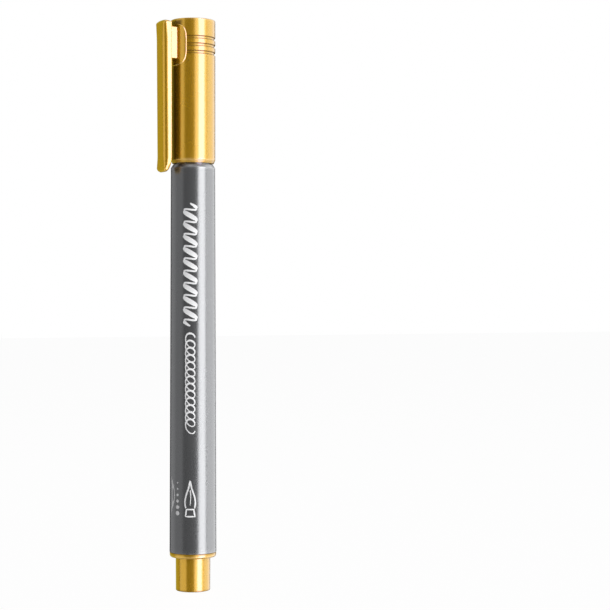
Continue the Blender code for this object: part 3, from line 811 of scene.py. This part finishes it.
def makeCapShell():
    look = capLook
    radius, inset, ridge, edge = look["radius"], look["rimInset"], look["rimRidge"], look["rimEdge"]
    ridgeZ = capRim + look["rimHeight"]
    outline = [
        (0, capTop - look["gateDepth"]),
        (look["gateRadius"], capTop - look["gateDepth"]),
        (look["gateRadius"] + look["gateEdge"], capTop),
        *arcPoints(radius - look["topRound"], capTop - look["topRound"], look["topRound"], 90, 0, 10),
        *[(radius, capTop - below) for below in look["wallRows"]],
    ]
    for depth in look["grooveDepths"]:
        outline += grooveOutline(capTop - depth)
    outline += [
        (radius, ridgeZ + ridge),
        (radius - ridge, ridgeZ),
        *arcPoints(radius - ridge - inset - edge / 3, capRim + edge, edge, -25, -90, 4),
        (look["bore"] + look["mouthAcross"], capRim),
        (look["bore"], capRim + look["mouthUp"]),
        (look["bore"], capTop - look["roof"] - look["roofEdge"]),
        (look["bore"] - look["roofEdge"], capTop - look["roof"]),
        (0, capTop - look["roof"]),
    ]
    piece = turnedPiece("cap_tube", outline, goldPlastic)
    # wear on the top edge, and a painted highlight line along the rim's ridge
    markWearAndHighlight(piece, [(radius, capTop), (radius, ridgeZ)], look["wearReach"])
    # painted shade under the ridge, behind the clip and in the grooves
    markPoints(piece, "shade", capPaintedShade)
    return piece


# pad on the cap
padLook = {
    "belowTop": 6.4 * mm, "halfHeight": 5.1 * mm, "halfWidth": 3.95 * mm, "squareness": 4.0,
    "proud": 0.20 * mm, "edge": 0.12 * mm, "buried": 0.30 * mm, "footRow": 0.06 * mm, "steps": 160,
    "edgeShares": (0.1, 0.3, 0.5, 0.7, 0.9, 1.0), "edgePower": 0.8,  # the edge's chamfer, outline to top
    "topRows": (0.06 * mm, 0.4 * mm, 1.2 * mm, 2.4 * mm, 3.4 * mm),  # rings in from the edge
    # the painted highlight along the pad's chamfered edge
    "edgeWear": 0.6, "wearMargin": 0.01 * mm,
}


def rounded(value, power):
    # squares off a circle's sine or cosine
    return math.copysign(abs(value) ** power, value)


def makePad():
    # the raised D that carries the clip: rings from its outline inwards, bent round the cap
    look, radius = padLook, capLook["radius"]
    middle = capTop - look["belowTop"]
    power = 2 / look["squareness"]
    rings = [(0.0, -look["buried"]), (0.0, -look["footRow"]), (0.0, 0.0)]
    for share in look["edgeShares"]:
        rings.append((look["edge"] * share, look["proud"] * share ** look["edgePower"]))
    rings += [(look["edge"] + extra, look["proud"]) for extra in look["topRows"]]
    work = bmesh.new()
    loops = []
    for inwards, lift in rings:
        loop = []
        for step in range(look["steps"]):
            angle = 2 * math.pi * (step + 0.5) / look["steps"]
            y = rounded(math.cos(angle), power) * (look["halfWidth"] - inwards)
            z = middle + rounded(math.sin(angle), power) * (look["halfHeight"] - inwards)
            bearing = math.asin(y / radius)
            reach = radius + lift
            loop.append(work.verts.new((-reach * math.cos(bearing), reach * math.sin(bearing), z)))
        loops.append(loop)
    skin(work, loops)
    for loop, lift in ((loops[0], -look["buried"]), (loops[-1], look["proud"])):
        hub = work.verts.new((-radius - lift, 0, middle))
        for step in range(look["steps"]):
            work.faces.new((loop[step], loop[(step + 1) % look["steps"]], hub))
    piece = settle(meshObject("cap_pad", work, goldPlastic))
    # painted highlight along the whole chamfered edge, carried in the same value as wear
    crest = radius + look["proud"] - look["wearMargin"]
    markPoints(piece, "wear",
               lambda vertex: look["edgeWear"] * (radius < math.hypot(vertex.co.x, vertex.co.y) < crest))
    return piece


# bridge between the cap and the clip
bridgeLook = {
    "width": 3.7 * mm, "top": capTop - 2.05 * mm, "bottom": capTop - 9.84 * mm, "round": 0.22 * mm,
    "start": 5.3 * mm, "end": 7.42 * mm, "slices": 16,
    "bendStart": 5.75 * mm, "bendEnd": 7.1 * mm,  # the real bridge flexes between these distances from the axis
}


def makeBridge():
    look = bridgeLook
    half, radius = look["width"] / 2, look["round"]
    side, high, low = half - radius, look["top"] - radius, look["bottom"] + radius
    corners = [(side, high, 0), (-side, high, 90), (-side, low, 180), (side, low, 270)]
    section = [point for y, z, turn in corners for point in arcPoints(y, z, radius, turn, turn + 90, 5)]
    work = bmesh.new()
    loops = []
    for cut in range(look["slices"] + 1):
        reach = between(look["start"], look["end"], cut / look["slices"])
        loops.append([work.verts.new((-reach, y, z)) for y, z in section])
    skin(work, loops)
    work.faces.new(loops[0])
    work.faces.new(loops[-1])
    return settle(meshObject("clip_bridge", work, goldPlastic))


# clip
clipLook = {
    "inner": 7.08 * mm, "outer": -clipBox[0].x, "taper": 0.25 * mm, "halfWidth": clipBox[1].y,
    "top": clipBox[1].z - 0.36 * mm, "topSlope": 0.20 * mm, "topRound": 1.0 * mm, "crown": 0.35 * mm,
    "crownPower": 3, "crownReach": 2.5 * mm, "tip": clipBox[0].z - 0.12 * mm, "tipRound": 0.75 * mm,
    "tipCorner": 1.4 * mm, "rampHeight": 3.6 * mm, "arcSteps": 12, "edgeSteps": 9,
    # how round the long edges are: inner face, top, end of the top corner, arm, start of the tip and tip
    "innerEdge": 0.12 * mm, "topEdge": 0.45 * mm, "cornerEdge": 0.90 * mm, "longEdge": 1.25 * mm,
    "tipStart": 0.72 * mm, "tipEdge": 0.60 * mm,
    "settles": 0.10, "tipEase": 0.08,  # shares of the arm's length over which the roundness changes
    "topRows": (0.0, 0.25, 0.5, 0.75), "innerRows": (0.02, 0.25, 0.5, 0.75, 0.98),
    "armRows": (0.01, 0.02, 0.04, 0.07, 0.10, 0.2, 0.3, 0.4, 0.5, 0.6, 0.7, 0.8, 0.9, 0.92, 0.95, 0.98),
    "middleRows": (-0.75, -0.5, -0.25, 0, 0.25, 0.5, 0.75),
    # the margin, facing and ease keys below bound the painted shade on the clip's inner face
    "mattMargin": 0.2 * mm, "mattFacing": 0.5, "mattEase": 0.3, "wearReach": 1.2 * mm,
}


def clipOutline():
    # the side profile as (r, z, edge rounding), from the inner top corner, over the outer face to the tip
    look = clipLook
    inner, outer, top = look["inner"], look["outer"], look["top"]
    topRound, steps = look["topRound"], look["arcSteps"]
    tipR = outer - look["taper"] - look["tipRound"]
    tipZ = look["tip"] + look["tipRound"]
    rows = []
    for share in look["topRows"]:
        rows.append((between(inner, outer - topRound, share), top - look["topSlope"] * (1 - share),
                     between(look["innerEdge"], look["topEdge"], share)))
    for step in range(steps + 1):
        angle = math.radians(90 - 90 * step / steps)
        reach, rise = topRound * math.cos(angle), topRound * math.sin(angle)
        rows.append((outer - topRound + reach, top - topRound + rise,
                     between(look["topEdge"], look["cornerEdge"], (step / steps) ** 2)))
    startZ = top - topRound
    for share in look["armRows"]:
        settled = min(1.0, share / look["settles"])
        eased = min(1.0, (1 - share) / look["tipEase"])
        rounding = min(between(look["cornerEdge"], look["longEdge"], settled),
                       between(look["tipStart"], look["longEdge"], eased))
        rows.append((outer - look["taper"] * share, between(startZ, tipZ, share), rounding))
    for step in range(steps + 1):
        share = step / steps
        angle = math.radians(-90 * share)
        rows.append((tipR + look["tipRound"] * math.cos(angle), tipZ + look["tipRound"] * math.sin(angle),
                     between(look["tipStart"], look["tipEdge"], share)))
    rampZ = look["tip"] + look["rampHeight"]
    for step in range(1, steps + 1):  # a quarter of an ellipse leads the tip back to the inner face
        share = step / steps
        angle = math.pi / 2 * share
        rows.append((between(tipR, inner, math.sin(angle)), rampZ - look["rampHeight"] * math.cos(angle),
                     between(look["tipEdge"], look["innerEdge"], share)))
    for share in look["innerRows"]:
        rows.append((inner, between(rampZ, top, share), look["innerEdge"]))
    return rows


def shapedHeight(y, z):
    # seen from the front the top is crowned and the tip has round corners
    look = clipLook
    nearTop = max(0.0, 1 - (look["top"] - z) / look["crownReach"])
    nearTip = max(0.0, 1 - (z - look["tip"]) / look["crownReach"])
    corner = look["tipCorner"]
    past = max(0.0, abs(y) - (look["halfWidth"] - corner))
    lift = corner - math.sqrt(corner ** 2 - past ** 2)
    return z - look["crown"] * abs(y / look["halfWidth"]) ** look["crownPower"] * nearTop + lift * nearTip


def clipPaintedShade(vertex):
    # painted shade: 1 on the clip's inner face, which faces the cap, fading out in the lower half of the ramp
    # to the tip
    look = clipLook
    if abs(vertex.co.y) > look["halfWidth"] - look["mattMargin"]:
        return 0.0
    above = (vertex.co.z - look["tip"]) / look["rampHeight"]
    facing = max(0.0, vertex.normal.x - look["mattFacing"]) / look["mattEase"]
    return min(1.0, facing) * max(0.0, 2 * above - 1)


def makeClip():
    # copies of the side profile, each drawn in by its rows' own rounding as the half width is reached
    look = clipLook
    rows = clipOutline()
    count = len(rows)
    inwards = []
    for place in range(count):
        before, after = rows[place - 1], rows[(place + 1) % count]
        along = Vector((after[0] - before[0], after[1] - before[1]))
        along.normalize()
        inwards.append(Vector((along.y, -along.x)))
    inwards[0] = Vector((1, -1))  # square corner
    work = bmesh.new()
    sections = []
    for step in range(look["edgeSteps"] + 1):
        angle = math.pi / 2 * step / look["edgeSteps"]
        section = []
        for (r, z, rounding), inward in zip(rows, inwards):
            drawn = rounding * (1 - math.cos(angle))
            y = look["halfWidth"] - rounding * (1 - math.sin(angle))
            section.append((r + inward.x * drawn, y, z + inward.y * drawn))
        sections.append(section)
    # the first copy isn't drawn in yet, and the flat middle repeats it
    across = [[(r, y * share, z) for r, y, z in sections[0]] for share in look["middleRows"]]
    mirrored = [[(r, -y, z) for r, y, z in section] for section in reversed(sections)]
    loops = []
    for section in mirrored + across + sections:
        loops.append([work.verts.new((-r, y, shapedHeight(y, z))) for r, y, z in section])
    skin(work, loops)
    for loop in (loops[0], loops[-1]):
        work.faces.new(loop)
    piece = settle(meshObject("clip_arm_moulding", work, goldPlastic))
    markWearAndHighlight(piece, [(look["outer"], look["tip"]), (look["outer"], look["top"])], look["wearReach"])
    # painted shade on the inner face, which faces the cap
    markPoints(piece, "shade", clipPaintedShade)
    return piece


# print on the barrel
printLook = {
    "facing": -125.0,  # degrees round the axis at which the marks are centred
    "inkHeight": 0.022 * mm, "buried": 0.05 * mm,
    "boldTop": 94.8 * mm, "boldBottom": 65.0 * mm, "boldHalf": 1.45 * mm, "boldTurns": 10,
    "boldThick": 1.15 * mm, "boldThin": 0.44 * mm, "boldSlant": 0.35, "boldSteps": 28,
    "boldFlat": 0.12, "boldPeak": 0.88, "boldEase": 6, "boldFade": 0.3, "boldPower": 0.8,
    "fineTop": 62.4 * mm, "fineBottom": 39.8 * mm, "fineHalf": 1.15 * mm, "fineTurns": 13,
    "fineThick": 0.46 * mm, "fineThin": 0.26 * mm, "fineLoop": 1.25 * mm, "fineSlant": 0.25,
    "fineSteps": 30, "fineRipple": 0.003 * mm,  # keeps ink that crosses itself from lying flush
    "markTop": 27.4 * mm, "markBottom": 18.7 * mm, "markHalf": 1.45 * mm, "markLine": 0.36 * mm,
    "ferrule": 0.24, "ferruleTop": 0.62, "ferruleFoot": 0.80, "tuftSteps": 22,
    "dotsFacing": -159.3, "dots": 6, "dotsTop": 26.8 * mm, "dotsBottom": 19.4 * mm,
    "dotLeast": 0.16 * mm, "dotMost": 0.54 * mm, "dotSteps": 12,
    "sweepFacing": -179.8, "sweepTop": 28.6 * mm, "sweepBottom": 19.0 * mm, "sweepWidth": 1.25 * mm,
    "sweepEnd": 0.05 * mm, "sweepBow": 1.1 * mm, "sweepSteps": 40,
}


def makePrintTree():
    # ribbons along flat strokes (x across, y up, "stroke" the width), wrapped round the tapered barrel
    tree, given, identifiers = newTree("barrelPrint", [
        ("Facing", "Float", 0.0), ("Low height", "Float", 0.0), ("High height", "Float", 1.0),
        ("Low radius", "Float", 1.0), ("High radius", "Float", 1.0), ("Ink height", "Float", 0.01),
        ("Buried", "Float", 0.01), ("Material", "Material", None)])
    get = given.outputs
    strokes = addNode(tree, "GeometryNodeMeshToCurve", mesh=get["Geometry"])
    flat = addNode(tree, "GeometryNodeSetCurveNormal", {"mode": "Z_UP"}, curve=strokes)
    section = addNode(tree, "GeometryNodeCurvePrimitiveQuadrilateral", width=1.0, height=0.1)
    width = addNode(tree, "GeometryNodeInputNamedAttribute", name="stroke").outputs[0]
    ribbon = addNode(tree, "GeometryNodeCurveToMesh", curve=flat, profilecurve=section, scale=width,
                     fillcaps=True)
    position = tree.nodes.new("GeometryNodeInputPosition").outputs[0]
    spot = addNode(tree, "ShaderNodeSeparateXYZ", vector=position)
    taper = addNode(tree, "ShaderNodeMapRange", value=spot.outputs["Y"], frommin=get["Low height"],
                    frommax=get["High height"], tomin=get["Low radius"], tomax=get["High radius"]).outputs[0]
    turn = maths(tree, "ADD", get["Facing"], maths(tree, "DIVIDE", spot.outputs["X"], taper))
    outside = maths(tree, "GREATER_THAN", spot.outputs["Z"], 0.0)
    thick = maths(tree, "ADD", get["Ink height"], get["Buried"])
    lift = maths(tree, "SUBTRACT", maths(tree, "MULTIPLY", outside, thick), get["Buried"])
    ripple = addNode(tree, "GeometryNodeInputNamedAttribute", name="ripple").outputs[0]
    radius = maths(tree, "ADD", maths(tree, "ADD", taper, lift), ripple)
    wrapped = addNode(tree, "ShaderNodeCombineXYZ",
                      x=maths(tree, "MULTIPLY", radius, maths(tree, "COSINE", turn)),
                      y=maths(tree, "MULTIPLY", radius, maths(tree, "SINE", turn)), z=spot.outputs["Y"])
    laid = addNode(tree, "GeometryNodeSetPosition", geometry=ribbon, position=wrapped)
    endTree(tree, laid, get["Material"])
    return tree, identifiers


def strokeMesh(name, strokes):
    # strokes are (points, closed), each point (across, up, width, ripple)
    points, edges = [], []
    for stroke, closed in strokes:
        start = len(points)
        points += stroke
        edges += [(start + i, start + i + 1) for i in range(len(stroke) - 1)]
        if closed:
            edges.append((len(points) - 1, start))
    mesh = bpy.data.meshes.new(name)
    mesh.from_pydata([(p[0], p[1], 0) for p in points], edges, [])
    for label, place in (("stroke", 2), ("ripple", 3)):
        mesh.attributes.new(label, "FLOAT", "POINT").data.foreach_set("value", [p[place] for p in points])
    return mesh


def boldDrill():
    # a push-pull drill: heavy down strokes joined by light up strokes
    look = printLook
    turns, half = look["boldTurns"], look["boldHalf"]
    rows = []
    count = turns * look["boldSteps"]
    for step in range(count + 1):
        share = step / count
        phase = 2 * math.pi * turns * share
        # flatter at its turns than a plain wave
        swing = math.sin(phase) + look["boldFlat"] * math.sin(3 * phase)
        u = max(-half, min(half, half * swing / look["boldPeak"]))
        v = between(look["boldTop"], look["boldBottom"], share) - look["boldSlant"] * u
        heavy = max(0.0, math.cos(phase)) ** look["boldPower"]
        width = between(look["boldThin"], look["boldThick"], heavy)
        fade = min(1.0, look["boldEase"] * share * turns, look["boldEase"] * (1 - share) * turns)
        rows.append((u, v, width * between(look["boldFade"], 1, fade), 0.0))
    return [(rows, False)]


def fineDrill():
    # a row of slanted loops
    look = printLook
    rows = []
    count = look["fineTurns"] * look["fineSteps"]
    for step in range(count + 1):
        share = step / count
        phase = 2 * math.pi * look["fineTurns"] * share
        u = look["fineHalf"] * math.cos(phase)
        v = between(look["fineTop"], look["fineBottom"], share)
        v += look["fineLoop"] * math.sin(phase) - look["fineSlant"] * u
        width = between(look["fineThin"], look["fineThick"], max(0.0, math.sin(phase)))
        rows.append((u, v, width, look["fineRipple"] * math.sin(phase)))
    return [(rows, False)]


def brushMark():
    # a small brush: leaf-shaped tuft over a trapezoid ferrule
    look = printLook
    top, bottom, half, line = look["markTop"], look["markBottom"], look["markHalf"], look["markLine"]
    ferruleTop = between(bottom, top, look["ferrule"])
    tuft = []
    for side in (-1, 1):
        leaf = []
        for step in range(look["tuftSteps"] + 1):
            share = step / look["tuftSteps"]
            swell = 0.62 + 0.38 * math.sin(math.pi * min(1.0, 1.15 * share + 0.12))
            belly = half * swell * (1 - share ** 1.6)
            leaf.append((side * belly, between(ferruleTop, top, share), line, 0.0))
        tuft += leaf if side == -1 else leaf[::-1][1:]
    ferrule = []
    upper, lower = look["ferruleTop"] * half, look["ferruleFoot"] * half
    corners = [(-upper, ferruleTop - line), (upper, ferruleTop - line), (lower, bottom), (-lower, bottom)]
    for place, (u, v) in enumerate(corners):
        nextU, nextV = corners[(place + 1) % 4]
        ferrule += [(between(u, nextU, s), between(v, nextV, s), line, 0.0) for s in (0.0, 0.25, 0.5, 0.75)]
    hair = [(0.10 * half * math.sin(3 * s), between(ferruleTop, top, 0.10 + 0.55 * s),
             between(0.16 * mm, 0.24 * mm, s), 0.0) for s in [i / 10 for i in range(11)]]
    return [(tuft, True), (ferrule, True), (hair, False)]


def gradedDots():
    # dots from fine to broad, the widths that the nib can draw
    look = printLook
    strokes = []
    for place in range(look["dots"]):
        share = place / (look["dots"] - 1)
        radius = between(look["dotLeast"], look["dotMost"], share)
        middle = between(look["dotsTop"], look["dotsBottom"], share)
        rows = []
        for step in range(look["dotSteps"] + 1):
            angle = math.pi * step / look["dotSteps"]
            rows.append((radius * math.cos(angle), middle, max(0.02 * mm, 2 * radius * math.sin(angle)), 0.0))
        strokes.append((rows, False))
    return strokes


def broadSweep():
    # one pressed brush stroke, thin at both ends
    look = printLook
    rows = []
    for step in range(look["sweepSteps"] + 1):
        share = step / look["sweepSteps"]
        bow = math.sin(math.pi * share)
        width = look["sweepWidth"] * bow ** 1.5 + look["sweepEnd"]
        rows.append((look["sweepBow"] * (bow - 0.6), between(look["sweepTop"], look["sweepBottom"], share),
                     width, 0.0))
    return [(rows, False)]


def makePrint():
    tree, identifiers = makePrintTree()
    look = printLook
    lowZ, highZ = footZ + barrelLook["flareLength"], shoulderZ
    common = {"Low height": lowZ, "High height": highZ, "Low radius": barrelRadius(lowZ),
              "High radius": barrelRadius(highZ), "Ink height": look["inkHeight"], "Buried": look["buried"]}
    pieces = []
    for name, strokes, facing, ink in (
            ("print_bold_drill", boldDrill(), look["facing"], whiteInk),
            ("print_fine_drill", fineDrill(), look["facing"], whiteInk),
            ("print_brush_mark", brushMark(), look["facing"], whiteInk),
            ("print_graded_dots", gradedDots(), look["dotsFacing"], whiteInk),
            ("print_broad_sweep", broadSweep(), look["sweepFacing"], paleInk)):
        pieces.append(grow(name, strokeMesh(name + "Strokes", strokes), tree, identifiers,
                           {**common, "Facing": math.radians(facing), "Material": ink}))
    return pieces


# assembly
def assemble():
    barrel = makeBarrel()
    plug = makeTailPlug()
    section = makeFrontSection()
    nib, strands = makeNib(), makeNibStrands()
    rod, film = makeReservoir(), makeWrap()
    seal = makeInnerCap()
    cap, pad, bridge, clip = makeCapShell(), makePad(), makeBridge(), makeClip()
    marks = makePrint()
    print("pieces made")
    for piece, body, node, slot in (
            (barrel, "marker_body", "barrel", "grey_plastic"),
            (plug, "marker_body", "tail_plug", "gold_plastic"),
            (section, "marker_body", "front_section", "grey_plastic"),
            (nib, "marker_body", "brush_nib", "inked_fibre"),
            (strands, "marker_body", "brush_nib", "inked_fibre"),
            (rod, "marker_body", "ink_reservoir", "reservoir_fibre"),
            (film, "marker_body", "reservoir_wrap", "clear_film"),
            (seal, "cap_seal", "inner_cap", "soft_white_plastic"),
            (cap, "cap", "cap_shell", "gold_plastic"),
            (pad, "cap", "cap_shell", "gold_plastic"),
            (clip, "clip_arm", "clip", "gold_plastic")):
        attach(piece, body)
        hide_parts(node)
    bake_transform(bridge)
    for mark in marks:
        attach(mark, "marker_body")
    return [plug, cap, pad, bridge, clip], [barrel, section, nib, strands, rod, film, seal, *marks]


goldPieces, otherPieces = assemble()


# studio
studioLook = {
    "lens": 100.0, "sensor": 36.0, "distance": 0.4172, "height": 0.0701, "azimuth": -31.77,
    "sideways": 0.02758, "panelDistance": 0.60, "panelHeight": 1.8, "dim": 0.03, "backdrop": 1.0,
    "aim": 0.07, "floorHalf": 3.0, "floorDrop": 0.05 * mm, "floorGlow": 0.97,
}
# soft boxes: name, middle and width in degrees to the right of the camera's line to the marker,
# brightness and colour
white = (1, 1, 1)
warm, amber, honey = (1, 0.94, 0.60), (0.97, 0.88, 0.06), (0.84, 0.83, 0.80)
cool, mild = (0.74, 0.62, 2.25), (0.90, 0.96, 1.20)
goldPanels = [
    ("goldKey", 45.0, 32.0, 2.9, cool), ("goldWide", 41.5, 64.0, 1.85, honey),
    ("goldRight", 114.0, 72.0, 1.28, mild), ("goldFront", -16.0, 60.0, 0.04, amber),
    ("goldLeft", -72.0, 54.0, 0.97, warm), ("goldBack", -137.0, 66.0, 0.50, amber),
]
otherPanels = [
    ("greyKey", 47.0, 39.0, 3.8, white), ("greyRight", 111.0, 78.0, 1.65, white),
    ("greyFront", -10.0, 84.0, 0.12, white), ("greyLeft", -76.0, 48.0, 0.40, white),
    ("greyBack", -122.0, 44.0, 0.55, white),
]
sharedBoxes = [  # name, place, side and brightness; these light every piece
    ("topBox", (0, 0.05, 0.85), 0.7, 1.1), ("underBox", (0, 0, -0.6), 1.4, 0.6),
]


def makeCamera():
    look = studioLook
    turn = math.radians(look["azimuth"])
    back = Vector((math.sin(turn), -math.cos(turn), 0))
    right = Vector((math.cos(turn), math.sin(turn), 0))
    data = bpy.data.cameras.new("studioCamera")
    data.lens, data.sensor_width = look["lens"], look["sensor"]
    data.clip_start, data.clip_end = 0.01, 20.0
    camera = linked(bpy.data.objects.new("studioCamera", data))
    camera.location = back * look["distance"] + right * look["sideways"] + Vector((0, 0, look["height"]))
    camera.rotation_euler = (-back).to_track_quat("-Z", "Y").to_euler()
    bpy.context.scene.camera = camera
    return camera


def makePanel(name, location, target, width, height, brightness, colour):
    # a soft box of even brightness; its power follows from its area
    data = bpy.data.lights.new(name, "AREA")
    data.shape = "RECTANGLE"
    data.size, data.size_y = width, height
    data.energy = brightness * math.pi * width * height
    data.color = colour
    panel = linked(bpy.data.objects.new(name, data))
    panel.location = location
    panel.rotation_euler = (Vector(target) - Vector(location)).to_track_quat("-Z", "Y").to_euler()
    panel.visible_camera = False
    return panel


def makeLights(camera):
    # each family of pieces has its own soft boxes, flagged off from the other
    look = studioLook
    sight = math.atan2(camera.location.y, camera.location.x)
    middle = look["height"]
    for family, panels, pieces in (("goldFamily", goldPanels, goldPieces),
                                   ("greyFamily", otherPanels, otherPieces)):
        receivers = bpy.data.collections.new(family)
        for piece in pieces:
            receivers.objects.link(piece)
        for name, bearing, spread, brightness, colour in panels:
            angle = sight + math.radians(bearing)
            place = (look["panelDistance"] * math.cos(angle), look["panelDistance"] * math.sin(angle), middle)
            width = 2 * look["panelDistance"] * math.tan(math.radians(spread / 2))
            panel = makePanel(name, place, (0, 0, middle), width, look["panelHeight"], brightness, colour)
            panel.light_linking.receiver_collection = receivers
    for name, place, side, brightness in sharedBoxes:
        makePanel(name, place, (0, 0, look["aim"]), side, side, brightness, white)


def makeWorld():
    # plain white behind the marker, and a dim room in its reflections
    world = bpy.data.worlds.new("paleStudio")
    bpy.context.scene.world = world
    world.use_nodes = True
    tree = world.node_tree
    tree.nodes.clear()
    seen = addNode(tree, "ShaderNodeBackground", color=(1, 1, 1, 1), strength=studioLook["backdrop"])
    room = addNode(tree, "ShaderNodeBackground", color=(0.95, 0.97, 1, 1), strength=studioLook["dim"])
    mix = tree.nodes.new("ShaderNodeMixShader")
    tree.links.new(tree.nodes.new("ShaderNodeLightPath").outputs["Is Camera Ray"], mix.inputs[0])
    tree.links.new(room.outputs[0], mix.inputs[1])
    tree.links.new(seen.outputs[0], mix.inputs[2])
    out = tree.nodes.new("ShaderNodeOutputWorld")
    tree.links.new(mix.outputs[0], out.inputs[0])


def makeFloor():
    work = bmesh.new()
    bmesh.ops.create_grid(work, x_segments=8, y_segments=8, size=studioLook["floorHalf"])
    bmesh.ops.translate(work, verts=work.verts, vec=(0, 0, -studioLook["floorDrop"]))
    material, tree, shader, place = newMaterial("paleFloor")
    mottled = noise(tree, place, 30.0, 4.0)
    tint = blendColour(tree, mottled, (0.03, 0.03, 0.03), (0.05, 0.05, 0.05))
    feed(tree, shader.inputs["Base Color"], tint)
    feed(tree, shader.inputs["Roughness"], remap(tree, mottled, *noiseSpan, 0.8, 0.9))
    shader.inputs["Emission Color"].default_value = (1, 1, 1, 1)
    shader.inputs["Emission Strength"].default_value = studioLook["floorGlow"]
    floor = meshObject("studioFloor", work, material)
    floor.visible_glossy = False
    floor.visible_diffuse = False
    floor.visible_shadow = False


camera = makeCamera()
makeLights(camera)
makeWorld()
makeFloor()
bpy.context.scene.view_settings.view_transform = "Standard"
print("studio ready")
